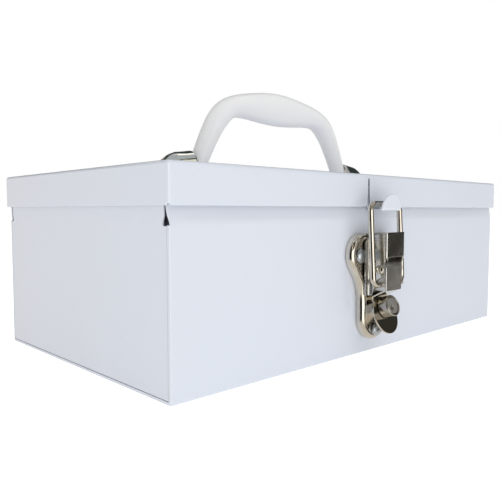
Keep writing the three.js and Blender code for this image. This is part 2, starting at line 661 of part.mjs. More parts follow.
// ---------------------------------------------------------------- latch: base plate and rivets
function plateOutline(inset) {
  const shape = new THREE.Shape();
  const r = plateEndRadius - inset;
  const low = plateBottom + plateEndRadius;
  const w = plateHalfWidth - inset;
  const top = plateTop - inset;
  const corner = 12 - inset;
  shape.absarc(latchX, low, r, Math.PI, 2 * Math.PI, false);
  shape.bezierCurveTo(latchX + r, low + 14, latchX + r, low + 17, latchX + r + 3.4, low + 24);
  shape.bezierCurveTo(latchX + r + 6, low + 29, latchX + w, low + 31, latchX + w, top - corner);
  shape.absarc(latchX + w - corner, top - corner, corner, 0, Math.PI / 2, false);
  shape.absarc(latchX - w + corner, top - corner, corner, Math.PI / 2, Math.PI, false);
  shape.bezierCurveTo(latchX - w, low + 31, latchX - r - 6, low + 29, latchX - r - 3.4, low + 24);
  shape.bezierCurveTo(latchX - r, low + 17, latchX - r, low + 14, latchX - r, low);
  shape.closePath();
  return shape;
}
let basePlate = cut(frontPlate(plateOutline(0), gap, plateProud),
  frontPlate(plateOutline(plateSheet), -1, plateProud - plateSheet));
for (const [x, z] of plateRivets) {
  basePlate = cut(basePlate, rodFront(rivetRadius + gap, 0, plateProud + 1, x, z));
}
piece('latch_base_plate', basePlate, nickel);

plateRivets.forEach(([x, z], k) => {
  const profile = [new THREE.Vector2(0, -(sheet + 1.6)), new THREE.Vector2(rivetRadius + 0.9, -(sheet + 1.6)),
    new THREE.Vector2(rivetRadius + 0.9, -(sheet + gap)), new THREE.Vector2(rivetRadius, -(sheet + gap)),
    new THREE.Vector2(rivetRadius, plateProud + gap), new THREE.Vector2(rivetHeadRadius, plateProud + gap)];
  const domeSteps = 5;
  for (let s = 1; s <= domeSteps; s += 1) {
    const turn = (Math.PI / 2) * (s / domeSteps);
    const radius = s === domeSteps ? 0 : rivetHeadRadius * Math.cos(turn);
    profile.push(new THREE.Vector2(radius, plateProud + gap + rivetHeadHeight * Math.sin(turn)));
  }
  const lathe = new THREE.LatheGeometry(profile, 20);
  lathe.rotateZ(Math.PI);
  lathe.translate(x, -halfDepth, z);
  piece(`latch_rivet_${k + 1}`, solid(lathe), zinc);
});

// ---------------------------------------------------------------- latch: bracket, lever and pin
const footBack = plateProud + gap;
let latchBracket = join(
  block(latchX - bracketHalf, latchX + bracketHalf, -(halfDepth + bracketProud), -(halfDepth + bracketProud - bracketSheet),
    bracketWindow, bracketTop));
for (const [, side] of sides) {
  const ear = outline([
    [-(halfDepth + footBack), bracketBottom], [-(halfDepth + footBack), bracketTop - 2],
    [-(halfDepth + bracketProud), bracketTop], [-(halfDepth + bracketProud), bracketWindow],
    [-(halfDepth + bracketProud - 1.6), bracketWindow - 3], [-(halfDepth + bracketProud - 1.6), leverAxisZ - 3],
    [-(halfDepth + leverAxisProud - 2), leverAxisZ - 6], [-(halfDepth + footBack + 2), bracketBottom],
  ]);
  const [ex0, ex1] = span(side, bracketHalf - bracketSheet, bracketHalf);
  const [fx0, fx1] = span(side, bracketHalf - bracketSheet, bracketHalf + bracketFoot);
  latchBracket = join(latchBracket, bar(ear, latchX + ex0, latchX + ex1),
    block(latchX + fx0, latchX + fx1, -(halfDepth + footBack + bracketSheet), -(halfDepth + footBack),
      bracketBottom, bracketTop - 6));
}
const leverAxisY = -(halfDepth + leverAxisProud);
const bailAxisY = -(halfDepth + bailAxisProud);
latchBracket = cut(latchBracket,
  rodX(leverPinRadius + gap, latchX - 20, latchX + 20, leverAxisY, leverAxisZ, 16));
for (const [x, z] of plateRivets) {
  latchBracket = cut(latchBracket, rodFront(rivetHeadRadius + gap, plateProud, plateProud + 3, x, z));
}
piece('latch_bracket', latchBracket, satin);

// The lever is a channel round its pivot; its foot folds back to a round thumb tab that leans out.
const leverHalf = bracketHalf - bracketSheet - leverSideGap;
const turnRadius = leverProud - leverAxisProud;
function leverSide(inset) {
  const shape = new THREE.Shape();
  const front = -(halfDepth + leverProud - inset);
  const back = leverAxisY + 4.4;
  shape.moveTo(front, leverBottom - (inset > 0 ? 3 : 0));
  shape.lineTo(front, leverAxisZ);
  shape.absarc(leverAxisY, leverAxisZ, turnRadius - inset, Math.PI, Math.PI / 2, true);
  shape.lineTo(back + (inset > 0 ? 2 : 0), leverAxisZ + turnRadius - inset);
  shape.lineTo(back + (inset > 0 ? 2 : 0), leverBottom - (inset > 0 ? 3 : 0));
  shape.closePath();
  return shape;
}
const tabShape = new THREE.Shape();
const neck = leverHalf - 0.4;
const joinAngle = Math.acos(neck / discRadius);
tabShape.absarc(0, 0, discRadius, Math.PI - joinAngle, joinAngle, false);
tabShape.lineTo(neck, tabNeckTop);
tabShape.lineTo(-neck, tabNeckTop);
tabShape.closePath();
const tabTopFront = new THREE.Vector3(0, 0, tabNeckTop).applyMatrix4(tabFrame);
const tabTopBack = new THREE.Vector3(0, leverSheet, tabNeckTop).applyMatrix4(tabFrame);
const neckProfile = outline([
  [tabTopFront.y, tabTopFront.z], [tabTopBack.y, tabTopBack.z], [tabTopBack.y, tabTopFront.z + 0.8 * leverSheet],
  [-(halfDepth + leverProud), leverBottom + 1.1 * leverSheet], [-(halfDepth + leverProud), leverBottom],
]);
let lever = cut(bar(leverSide(0), latchX - leverHalf, latchX + leverHalf),
  bar(leverSide(leverSheet), latchX - leverHalf + leverSheet, latchX + leverHalf - leverSheet));
lever = join(lever, tabPlate(tabShape, -leverSheet, 0, 14), bar(neckProfile, latchX - neck, latchX + neck));
lever = cut(lever,
  rodX(leverPinRadius + gap, latchX - 20, latchX + 20, leverAxisY, leverAxisZ, 16),
  rodX(bailWire / 2 + gap, latchX - 20, latchX + 20, bailAxisY, bailAxisZ, 16),
  tabRod(lockNeckRadius + gap, -leverSheet - 1, 1, lockRise));
piece('latch_lever', lever, satin);

piece('latch_pivot_pin', join(
  rodX(leverPinRadius, latchX - bracketHalf - gap - 0.1, latchX + bracketHalf + gap + 0.1, leverAxisY, leverAxisZ, 16),
  rodX(leverPinHead, latchX - bracketHalf - gap - leverPinHeadHeight, latchX - bracketHalf - gap, leverAxisY, leverAxisZ),
  rodX(leverPinHead, latchX + bracketHalf + gap, latchX + bracketHalf + gap + leverPinHeadHeight, leverAxisY, leverAxisZ)),
zinc);

// ---------------------------------------------------------------- latch: wire bail
// The wire runs from one pivot end up a leg, across the top and down the other leg.
const legTop = new THREE.Vector3(0, -(halfDepth + bailTopProud), bailTopZ);
const legFoot = new THREE.Vector3(0, bailAxisY, bailAxisZ);
const up = legTop.clone().sub(legFoot).normalize();
const cornersOf = [
  legFoot.clone().setX(latchX - leverHalf + 1.6), legFoot.clone().setX(latchX - bailHalf),
  legTop.clone().setX(latchX - bailHalf), legTop.clone().setX(latchX + bailHalf),
  legFoot.clone().setX(latchX + bailHalf), legFoot.clone().setX(latchX + leverHalf - 1.6),
];
const wirePath = new THREE.CurvePath();
let from = cornersOf[0];
for (let k = 1; k < cornersOf.length - 1; k += 1) {
  const corner = cornersOf[k];
  const radius = k === 1 || k === cornersOf.length - 2 ? bailBend * 0.75 : bailBend;
  const before = corner.clone().add(from.clone().sub(corner).setLength(radius));
  const after = corner.clone().add(cornersOf[k + 1].clone().sub(corner).setLength(radius));
  wirePath.add(new THREE.LineCurve3(from, before));
  wirePath.add(new THREE.QuadraticBezierCurve3(before, corner, after));
  from = after;
}
wirePath.add(new THREE.LineCurve3(from, cornersOf[cornersOf.length - 1]));

function sweep(path, radius, count, sidesOfWire) {
  const positions = [];
  const index = [];
  const lengthwise = path.getSpacedPoints(count);
  const face = new THREE.Vector3(1, 0, 0).cross(up).normalize();
  lengthwise.forEach((point, k) => {
    const before = lengthwise[Math.max(k - 1, 0)];
    const after = lengthwise[Math.min(k + 1, count)];
    const along = after.clone().sub(before).normalize();
    const across = along.clone().cross(face).normalize();
    for (let s = 0; s < sidesOfWire; s += 1) {
      const turn = (2 * Math.PI * s) / sidesOfWire;
      const spot = point.clone()
        .addScaledVector(face, radius * Math.cos(turn))
        .addScaledVector(across, radius * Math.sin(turn));
      positions.push(spot.x, spot.y, spot.z);
    }
  });
  for (let k = 0; k < count; k += 1) {
    for (let s = 0; s < sidesOfWire; s += 1) {
      const a = k * sidesOfWire + s;
      const b = k * sidesOfWire + ((s + 1) % sidesOfWire);
      index.push(a, b, a + sidesOfWire, b, b + sidesOfWire, a + sidesOfWire);
    }
  }
  for (let s = 1; s < sidesOfWire - 1; s += 1) {
    const end = count * sidesOfWire;
    index.push(0, s + 1, s);
    index.push(end, end + s, end + s + 1);
  }
  const geometry = new THREE.BufferGeometry();
  geometry.setAttribute('position', new THREE.BufferAttribute(new Float32Array(positions), 3));
  geometry.setIndex(index);
  return solid(geometry);
}
piece('latch_bail', sweep(wirePath, bailWire / 2, 64, 10), nickel);

// ---------------------------------------------------------------- latch: keeper on the lid
// A strip behind the skirt that turns out under its edge and up into a rounded hook.
const stripBack = -lidHalfDepth + sheet + gap;
const hookFoot = -(halfDepth + keeperProud);
const hookProfile = outline([
  [stripBack + keeperSheet, keeperShelf + 1], [stripBack + keeperSheet, skirtLow + keeperUpright],
  [stripBack, skirtLow + keeperUpright], [stripBack, skirtLow - gap],
  [stripBack, keeperShelf + keeperSheet - 0.5], [stripBack - 0.5, skirtLow - gap - 0.3],
  [hookFoot + keeperSheet + 0.6, skirtLow - gap - 0.3], [hookFoot + keeperSheet, skirtLow + 0.6],
  [hookFoot + keeperSheet - keeperLean, keeperTip], [hookFoot - keeperLean, keeperTip],
  [hookFoot, keeperShelf + 1], [hookFoot + 1, keeperShelf - 0.4], [stripBack, keeperShelf - 0.4],
]);
const tongue = new THREE.Shape();
tongue.moveTo(latchX - keeperHalf, keeperShelf - 2);
tongue.lineTo(latchX - keeperHalf, keeperShelf + 1.4);
tongue.quadraticCurveTo(latchX - keeperHalf * 0.62, keeperTip, latchX, keeperTip);
tongue.quadraticCurveTo(latchX + keeperHalf * 0.62, keeperTip, latchX + keeperHalf, keeperShelf + 1.4);
tongue.lineTo(latchX + keeperHalf, keeperShelf - 2);
tongue.closePath();
const hookZone = join(frontPlate(tongue, lidOverhang + gap, keeperProud + keeperLean + 2, 8),
  block(latchX - keeperHalf, latchX + keeperHalf, -(halfDepth + lidOverhang + gap), stripBack + 3,
    keeperShelf - 2, skirtLow + keeperUpright + 1));
piece('latch_keeper', bar(hookProfile, latchX - keeperHalf, latchX + keeperHalf).intersect(hookZone), paint);

// ---------------------------------------------------------------- latch: lock
const neckEnd = leverSheet + lockTail;
const cylinder = cut(
  join(tabRod(lockRadius, gap, lockFace, lockRise, 28),
    tabRod(lockNeckRadius, -neckEnd, gap + 0.1, lockRise)),
  tabRod(plugRadius + gap, plugSeat, lockFace + 1, lockRise),
  tabRod(plugShaft + gap, -neckEnd - 1, plugSeat + 1, lockRise));
piece('lock_cylinder', cylinder, nickel);

const plugFront = lockFace - plugFace;
const keyholeFloor = plugFront - keyholeDepth;
const keyZ = lockRise + keyholeZ;
const plug = cut(
  join(tabRod(plugRadius, plugSeat + gap, plugFront, lockRise),
    tabRod(plugShaft, -neckEnd - plugTail, plugSeat + gap + 0.1, lockRise, 16)),
  tabBlock(keyholeX - 0.6, keyholeX + 0.6, keyholeFloor, plugFront + 1, keyZ - 1.7, keyZ + 2.2),
  tabBlock(keyholeX - 1.9, keyholeX + 1.9, keyholeFloor, plugFront + 1, keyZ - 0.65, keyZ + 0.65));
piece('lock_plug', plug, zinc);

const camFront = -(neckEnd + plugTail + gap);
const camShape = new THREE.Shape();
camShape.absarc(0, lockRise, 3.6, -Math.PI / 2, Math.PI / 2, false);
camShape.lineTo(-camReach, lockRise + 2.4);
camShape.lineTo(-camReach, lockRise - 2.4);
camShape.closePath();
piece('lock_cam', tabPlate(camShape, camFront - camThickness, camFront, 8), zinc);

export default sewingBox;
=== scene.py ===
import json
import math

import bmesh
import bpy
from mathutils import Matrix, Vector, geometry


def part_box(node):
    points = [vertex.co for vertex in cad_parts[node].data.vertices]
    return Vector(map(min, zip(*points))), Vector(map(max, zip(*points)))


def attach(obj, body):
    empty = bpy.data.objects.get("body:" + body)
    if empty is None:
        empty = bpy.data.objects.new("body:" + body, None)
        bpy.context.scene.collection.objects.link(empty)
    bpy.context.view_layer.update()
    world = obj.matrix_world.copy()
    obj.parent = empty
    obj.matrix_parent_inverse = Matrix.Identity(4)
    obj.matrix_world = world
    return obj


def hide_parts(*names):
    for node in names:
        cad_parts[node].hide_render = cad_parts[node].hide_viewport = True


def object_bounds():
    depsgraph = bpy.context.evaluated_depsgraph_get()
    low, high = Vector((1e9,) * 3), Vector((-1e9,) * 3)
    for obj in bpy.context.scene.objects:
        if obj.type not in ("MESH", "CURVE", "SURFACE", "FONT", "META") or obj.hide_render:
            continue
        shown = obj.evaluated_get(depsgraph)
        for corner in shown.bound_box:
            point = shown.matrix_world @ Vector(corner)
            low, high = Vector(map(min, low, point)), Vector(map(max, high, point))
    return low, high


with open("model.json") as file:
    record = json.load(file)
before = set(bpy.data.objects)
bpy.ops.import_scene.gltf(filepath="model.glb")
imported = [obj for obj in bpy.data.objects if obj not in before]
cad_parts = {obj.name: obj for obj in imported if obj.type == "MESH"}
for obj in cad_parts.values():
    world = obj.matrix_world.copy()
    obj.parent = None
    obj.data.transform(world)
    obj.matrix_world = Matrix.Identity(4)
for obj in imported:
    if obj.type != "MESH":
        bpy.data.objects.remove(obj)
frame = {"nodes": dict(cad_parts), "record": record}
cad_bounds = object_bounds()

# ---- Camera, floor and light ----------------------------------------------------------
# A catalogue stand: the box sits on a seamless white table under one wide soft light,
# with a dark screen to the right, which gives the plated latch and hoods their contrast.
camera = bpy.data.objects.new("camera", bpy.data.cameras.new("camera"))
camera.data.lens = 41.05
camera.data.sensor_width = 36.0
camera.location = (-0.2867, -0.2770, 0.0821)
sight = Vector((0.68524, 0.72508, -0.06854))
camera.rotation_euler = sight.to_track_quat("-Z", "Y").to_euler()
bpy.context.scene.collection.objects.link(camera)
bpy.context.scene.camera = camera
bpy.context.scene.view_settings.view_transform = "Standard"


def add_node(tree, kind, inputs=None, **settings):
    """One shader node: inputs are values or the sockets that feed them."""
    node = tree.nodes.new(kind)
    for name, value in settings.items():
        setattr(node, name, value)
    for socket, value in (inputs or {}).items():
        if isinstance(value, bpy.types.NodeSocket):
            tree.links.new(value, node.inputs[socket])
        else:
            node.inputs[socket].default_value = value
    return node


def blend_colours(tree, amount, first, second):
    """Colour socket that goes from first to second as amount goes from 0 to 1."""
    inputs = {0: amount, 6: first, 7: second}
    return add_node(tree, "ShaderNodeMix", inputs, data_type="RGBA").outputs[2]


studio = bpy.data.worlds.new("studio")
bpy.context.scene.world = studio
studio.use_nodes = True
air = studio.node_tree
air.nodes.clear()
ray = add_node(air, "ShaderNodeLightPath").outputs
way = add_node(air, "ShaderNodeTexCoord").outputs["Generated"]
flat_way = add_node(air, "ShaderNodeSeparateXYZ", {0: way}).outputs
bearing = add_node(air, "ShaderNodeMath", {0: flat_way["Y"], 1: flat_way["X"]}, operation="ARCTAN2")
full_turn = {"Value": bearing.outputs[0], "From Min": -math.pi, "From Max": math.pi}
round_room = add_node(air, "ShaderNodeMapRange", full_turn)
room = add_node(air, "ShaderNodeValToRGB", {"Fac": round_room.outputs[0]})
room_panels = [
    (0.000, (0.02, 0.02, 0.018)), (0.120, (0.02, 0.02, 0.018)), (0.145, (1.7, 1.68, 1.62)),
    (0.275, (1.7, 1.68, 1.62)), (0.300, (0.03, 0.028, 0.022)), (0.430, (0.035, 0.032, 0.026)),
    (0.455, (0.70, 0.68, 0.64)), (0.590, (0.62, 0.57, 0.50)), (0.940, (0.56, 0.52, 0.46)),
    (0.960, (0.02, 0.02, 0.018)),
]
for place, tone in room_panels[2:]:
    room.color_ramp.elements.new(place)
for stop, (place, tone) in zip(room.color_ramp.elements, room_panels):
    stop.position = place
    stop.color = (*tone, 1)
patches = add_node(air, "ShaderNodeTexNoise", {"Vector": way, "Scale": 3.0, "Detail": 1.0}).outputs[0]
patch_range = {"Value": patches, "From Min": 0.60, "From Max": 0.64}
patch_edge = add_node(air, "ShaderNodeMapRange", patch_range).outputs[0]
ceiling_tone = blend_colours(air, patch_edge, (0.035, 0.045, 0.042, 1), (1.0, 0.92, 0.75, 1))
height = flat_way["Z"]
above_range = {"Value": height, "From Min": 0.22, "From Max": 0.34}
above = add_node(air, "ShaderNodeMapRange", above_range).outputs[0]
below_range = {"Value": height, "From Min": -0.45, "From Max": -0.30}
below = add_node(air, "ShaderNodeMapRange", below_range).outputs[0]
low_tone = blend_colours(air, below, (0.72, 0.70, 0.66, 1), room.outputs[0])
gloss_tone = blend_colours(air, above, low_tone, ceiling_tone)
front_way = (0.45, -0.80, 0.40)
front_side = add_node(air, "ShaderNodeVectorMath", {0: way, 1: front_way}, operation="DOT_PRODUCT")
lit_range = {"Value": front_side.outputs["Value"], "From Min": -1.0, "From Max": 1.0}
lit = add_node(air, "ShaderNodeMapRange", lit_range)
soft_tone = blend_colours(air, lit.outputs[0], (0.40, 0.40, 0.40, 1), (0.80, 0.80, 0.80, 1))
seen_tone = blend_colours(air, ray["Is Glossy Ray"], soft_tone, gloss_tone)
sky_tone = blend_colours(air, ray["Is Camera Ray"], seen_tone, (1.0, 1.0, 1.0, 1))
backdrop = add_node(air, "ShaderNodeBackground", {"Color": sky_tone, "Strength": 1.0})
add_node(air, "ShaderNodeOutputWorld", {"Surface": backdrop.outputs[0]})

for light_name, place, aim, width, power in (
    ("ceiling_light", (0.1, -0.2, 1.5), (0.0, 0.0, 0.0), 1.6, 3.5),
    ("front_light", (0.35, -1.1, 0.75), (0.0, 0.0, 0.06), 0.7, 0.5),
):
    lamp = bpy.data.objects.new(light_name, bpy.data.lights.new(light_name, "AREA"))
    lamp.data.size = width
    lamp.data.energy = power
    lamp.location = place
    lamp.rotation_euler = (Vector(aim) - Vector(place)).to_track_quat("-Z", "Y").to_euler()
    bpy.context.scene.collection.objects.link(lamp)

table_paper = bpy.data.materials.new("table_paper")
table_paper.use_nodes = True
paper = table_paper.node_tree
paper_spot = add_node(paper, "ShaderNodeTexCoord").outputs["Object"]
paper_grain = add_node(paper, "ShaderNodeTexNoise", {"Vector": paper_spot, "Scale": 30.0}).outputs[0]
paper_tone = blend_colours(paper, paper_grain, (0.93, 0.93, 0.93, 1), (0.96, 0.96, 0.96, 1))
paper.links.new(paper_tone, paper.nodes["Principled BSDF"].inputs["Base Color"])
paper.nodes["Principled BSDF"].inputs["Roughness"].default_value = 0.9
paper.nodes["Principled BSDF"].inputs["Specular IOR Level"].default_value = 0.0
paper.nodes["Principled BSDF"].inputs["Emission Color"].default_value = (1.0, 1.0, 1.0, 1.0)
paper.nodes["Principled BSDF"].inputs["Emission Strength"].default_value = 0.52
table_gap = 0.0003
bm = bmesh.new()
bmesh.ops.create_grid(bm, x_segments=4, y_segments=4, size=6.0)
bmesh.ops.translate(bm, verts=bm.verts, vec=(0, 0, cad_bounds[0][2] - table_gap))
table_mesh = bpy.data.meshes.new("table")
bm.to_mesh(table_mesh)
table = bpy.data.objects.new("table", table_mesh)
table_mesh.materials.append(table_paper)
bpy.context.scene.collection.objects.link(table)
table.visible_glossy = False

# ---- Body shell -----------------------------------------------------------------------
# Front, bottom and rear are one folded sheet of 0.9 mm steel. The front and rear step in
# under the lid, cover the corners, and a lip stands up along each end.
# It is sprayed in a glossy blue-white stoving enamel.
STEEL = 0.0009
seam = 0.0003
_, body_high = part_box("body_shell")
half_x, half_y, rim_z = body_high.x, body_high.y, body_high.z
seam_top = 0.0761
joggle_low, joggle_high = 0.0775, 0.0820
rim_recess = 0.0014
rim_y = half_y - rim_recess
corner_return = 0.0014
end_lip = 0.0017
corner_bend, joggle_bend, rim_bend = 0.0009, 0.0013, 0.0028
sheet_edge = 0.00022


def enamel_paint(name, shade, tint, smudge):
    """Glossy stoved enamel: faint orange peel, sheet waviness, and a few dull rubs."""
    paint = bpy.data.materials.new(name)
    paint.use_nodes = True
    tree = paint.node_tree
    shader = tree.nodes["Principled BSDF"]
    spot = add_node(tree, "ShaderNodeTexCoord").outputs["Object"]
    cloud = add_node(tree, "ShaderNodeTexNoise", {"Vector": spot, "Scale": 11.0, "Detail": 4.0}).outputs[0]
    fleck = add_node(tree, "ShaderNodeTexNoise", {"Vector": spot, "Scale": 700.0, "Detail": 1.0}).outputs[0]
    fleck_range = {"Value": fleck, "From Min": 0.72, "From Max": 0.80, "To Max": 0.35}
    flecks = add_node(tree, "ShaderNodeMapRange", fleck_range)
    flat = blend_colours(tree, cloud, shade, tint)
    tree.links.new(blend_colours(tree, flecks.outputs[0], flat, smudge), shader.inputs["Base Color"])
    streak_map = add_node(tree, "ShaderNodeMapping", {"Vector": spot, "Scale": (14.0, 14.0, 60.0)}).outputs[0]
    rub = add_node(tree, "ShaderNodeTexNoise", {"Vector": streak_map, "Scale": 1.0, "Detail": 5.0}).outputs[0]
    dull = add_node(tree, "ShaderNodeMapRange", {"Value": rub, "From Min": 0.2, "From Max": 0.9,
                                                 "To Min": 0.18, "To Max": 0.26})
    tree.links.new(dull.outputs[0], shader.inputs["Roughness"])
    peel = add_node(tree, "ShaderNodeTexNoise", {"Vector": spot, "Scale": 420.0, "Detail": 2.0}).outputs[0]
    skin = add_node(tree, "ShaderNodeBump", {"Height": peel, "Strength": 0.05, "Distance": 0.0004}).outputs[0]
    wave = add_node(tree, "ShaderNodeTexNoise", {"Vector": spot, "Scale": 8.0, "Detail": 0.0}).outputs[0]
    wave_inputs = {"Height": wave, "Strength": 0.06, "Distance": 0.002, "Normal": skin}
    waves = add_node(tree, "ShaderNodeBump", wave_inputs)
    tree.links.new(waves.outputs[0], shader.inputs["Normal"])
    shader.inputs["Coat Weight"].default_value = 0.5
    shader.inputs["Coat Roughness"].default_value = 0.08
    shader.inputs["IOR"].default_value = 1.5
    return paint


enamel = enamel_paint("white_enamel", (0.76, 0.80, 0.877, 1), (0.775, 0.812, 0.89, 1),
                      (0.66, 0.68, 0.72, 1))


def set_piece(name, bm, finish, body, nodes, wall=0.0, round_off=0.0, divide=0, outward=None):
    """Turns a bmesh into a piece that rides on a body and stands for its CAD nodes.

    wall thickens a skin inwards, round_off softens its edges, divide subdivides it, and
    outward is a direction that the piece's largest face looks in.
    """
    bmesh.ops.remove_doubles(bm, verts=bm.verts, dist=1e-6)
    bmesh.ops.recalc_face_normals(bm, faces=bm.faces)
    if outward is not None:
        largest = max(bm.faces, key=lambda f: f.calc_area() * abs(f.normal.dot(Vector(outward))))
        if largest.normal.dot(Vector(outward)) < 0:
            bmesh.ops.reverse_faces(bm, faces=bm.faces)
    mesh = bpy.data.meshes.new(name)
    bm.to_mesh(mesh)
    bm.free()
    mesh.shade_smooth()
    mesh.materials.append(finish)
    piece = bpy.data.objects.new(name, mesh)
    bpy.context.scene.collection.objects.link(piece)
    if wall:
        skin = piece.modifiers.new("wall", "SOLIDIFY")
        skin.thickness = wall
        skin.offset = -1.0
        skin.use_even_offset = True
    if round_off:
        edges = piece.modifiers.new("edges", "BEVEL")
        edges.width = round_off
        edges.segments = 2
        edges.limit_method = "ANGLE"
        edges.angle_limit = math.radians(35)
        edges.use_clamp_overlap = True
    if divide:
        round_form = piece.modifiers.new("form", "SUBSURF")
        round_form.levels = divide
        round_form.render_levels = divide
    else:
        piece.modifiers.new("shading", "WEIGHTED_NORMAL").keep_sharp = True
    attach(piece, body)
    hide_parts(*nodes)
    return piece


def cut_across(bm, faces, place, normal):
    """Cuts only these faces along a plane."""
    edges = {e for f in faces for e in f.edges}
    verts = {v for f in faces for v in f.verts}
    geom = list(verts) + list(edges) + list(faces)
    bmesh.ops.bisect_plane(bm, geom=geom, plane_co=place, plane_no=normal)


def near(a, b):
    """Whether two measures agree to a hundredth of a millimetre."""
    return abs(a - b) < 1e-5


def bend(bm, edges, radius, segments=4):
    """Rounds folded edges, once the sheet's faces all look the same way."""
    bmesh.ops.recalc_face_normals(bm, faces=bm.faces)
    bmesh.ops.bevel(bm, geom=list(edges), offset=radius, offset_type="OFFSET", segments=segments,
                    profile=0.5, affect="EDGES", clamp_overlap=True, material=-1)


bm = bmesh.new()
bmesh.ops.create_cube(bm, size=1.0)
bmesh.ops.scale(bm, verts=bm.verts, vec=(2 * half_x, 2 * half_y, seam_top))
bmesh.ops.translate(bm, verts=bm.verts, vec=(0, 0, seam_top / 2))
bmesh.ops.delete(bm, geom=[f for f in bm.faces if f.normal.z > 0.5], context="FACES_ONLY")
for place, normal in (((0, half_y - corner_return, 0), (0, 1, 0)),
                      ((0, corner_return - half_y, 0), (0, 1, 0)),
                      ((0, 0, end_lip), (0, 0, 1))):
    cut_across(bm, [f for f in bm.faces if abs(f.normal.x) > 0.5], place, normal)
window = [f for f in bm.faces if abs(f.normal.x) > 0.5
          and abs(f.calc_center_median().y) < half_y - corner_return
          and f.calc_center_median().z > end_lip]
bmesh.ops.delete(bm, geom=window, context="FACES")
folds = []
for e in bm.edges:
    a, b = e.verts[0].co, e.verts[1].co
    upright = near(abs(a.x), half_x) and near(abs(a.y), half_y) and near(a.x, b.x) and near(a.y, b.y)
    under = near(a.z, 0) and near(b.z, 0)
    if upright or under:
        folds.append(e)
bend(bm, folds, corner_bend)
for side in (-1, 1):
    top = [e for e in bm.edges
           if all(near(v.co.z, seam_top) and near(v.co.y, side * half_y) for v in e.verts)]
    for y, z in ((half_y, joggle_low), (rim_y, joggle_high), (rim_y, rim_z)):
        grown = bmesh.ops.extrude_edge_only(bm, edges=top)["geom"]
        top = [g for g in grown if isinstance(g, bmesh.types.BMEdge)]
        for v in {v for e in top for v in e.verts}:
            v.co.y = side * y
            v.co.z = z
            if z > joggle_low:
                v.co.x = math.copysign(half_x, v.co.x)
for height, radius, segments in ((joggle_high, rim_bend, 5), (joggle_low, joggle_bend, 4)):
    folds = [e for e in bm.edges if e.calc_length() > half_x and all(near(v.co.z, height) for v in e.verts)]
    bend(bm, folds, radius, segments)
set_piece("body_sheet", bm, enamel, "box", ["body_shell"], wall=STEEL, round_off=sheet_edge,
          outward=(0, -1, 0))

# ---- End walls ------------------------------------------------------------------------
# Each end is a separate flat panel of the same steel. It stops short of the folded front
# and rear, which leaves a hairline seam, and flanges behind them are spot welded on.
rim_gap = 0.0014
hole_deep, hole_side, hole_tall, hole_round = 0.0009, 0.0018, 0.0045, 0.0008
flange_step, flange_wide, flange_end = 0.0012, 0.012, 0.001
panel_y = half_y - corner_return - seam
panel_rim_y = rim_y - STEEL - rim_gap
hole_y = panel_rim_y - hole_deep
panel_foot = end_lip + seam
notch_z = seam_top - seam
flange_y = half_y - STEEL - seam
for side, end in ((-1, "left"), (1, "right")):
    outline = [(panel_y, panel_foot), (panel_y, notch_z), (hole_y, notch_z), (hole_y, notch_z + hole_side),
               (panel_rim_y, notch_z + hole_tall), (panel_rim_y, rim_z)]
    outline += [(-y, z) for y, z in reversed(outline)]
    bm = bmesh.new()
    bm.faces.new([bm.verts.new((side * half_x, y, z)) for y, z in outline])
    inside_corners = [v for v in bm.verts if near(abs(v.co.y), hole_y)]
    bmesh.ops.bevel(bm, geom=inside_corners, offset=hole_round, offset_type="OFFSET", segments=3,
                    profile=0.5, affect="VERTICES", material=-1)
    for turn in (-1, 1):
        rail = [e for e in bm.edges if all(near(v.co.y, turn * panel_y) for v in e.verts)]
        for x, y in ((half_x - flange_step, panel_y - 0.0001), (half_x - flange_step, flange_y),
                     (half_x - flange_wide, flange_y)):
            grown = bmesh.ops.extrude_edge_only(bm, edges=rail)["geom"]
            rail = [g for g in grown if isinstance(g, bmesh.types.BMEdge)]
            for v in {v for e in rail for v in e.verts}:
                v.co.x = side * x
                v.co.y = turn * y
                v.co.z = min(max(v.co.z, panel_foot + flange_end), notch_z - flange_end)
    set_piece(f"end_panel_{end}", bm, enamel, "box", [f"end_wall_{end}"], wall=STEEL,
              round_off=0.0002, outward=(side, 0, 0))

# ---- Lid ------------------------------------------------------------------------------
# The lid is one pressed tray of steel with a soft fold all round and welded, ground
# corners. Its front skirt is slit beside the keeper, and the cut leaf stands a little out.
lid_low, lid_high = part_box("lid_shell")
lid_x, lid_y = lid_high.x, lid_high.y
lid_fold = 0.0018
corner_lift = 0.0009
slit_x = -0.0130
slit_half = 0.0007
slit_top = lid_high.z - 0.0026
leaf_spring, leaf_fade = 0.0012, 0.016
skirt_give, skirt_fade = 0.0004, 0.010
bm = bmesh.new()
bmesh.ops.create_cube(bm, size=1.0)
bmesh.ops.scale(bm, verts=bm.verts, vec=(2 * lid_x, 2 * lid_y, lid_high.z - lid_low.z))
bmesh.ops.translate(bm, verts=bm.verts, vec=(0, 0, (lid_high.z + lid_low.z) / 2))
bmesh.ops.delete(bm, geom=[f for f in bm.faces if f.normal.z < -0.5], context="FACES_ONLY")
bend(bm, [e for e in bm.edges if not all(near(v.co.z, lid_low.z) for v in e.verts)], lid_fold, 4)
cuts = [slit_x - slit_half, slit_x + slit_half]
cuts += [slit_x + reach for reach in (-0.020, -0.010, -0.004, 0.003, 0.007, 0.012, 0.020, 0.032, 0.048)]
for x in cuts:
    cut_across(bm, [f for f in bm.faces if f.normal.y < -0.99], (x, 0, 0), (1, 0, 0))
for z in (slit_top, lid_low.z + 0.003, lid_low.z + 0.007, lid_low.z + 0.012):
    cut_across(bm, [f for f in bm.faces if f.normal.y < -0.99], (0, 0, z), (0, 0, 1))
slot_faces = [f for f in bm.faces if f.normal.y < -0.99 and f.calc_center_median().z < slit_top
              and abs(f.calc_center_median().x - slit_x) < slit_half]
bmesh.ops.delete(bm, geom=slot_faces, context="FACES")
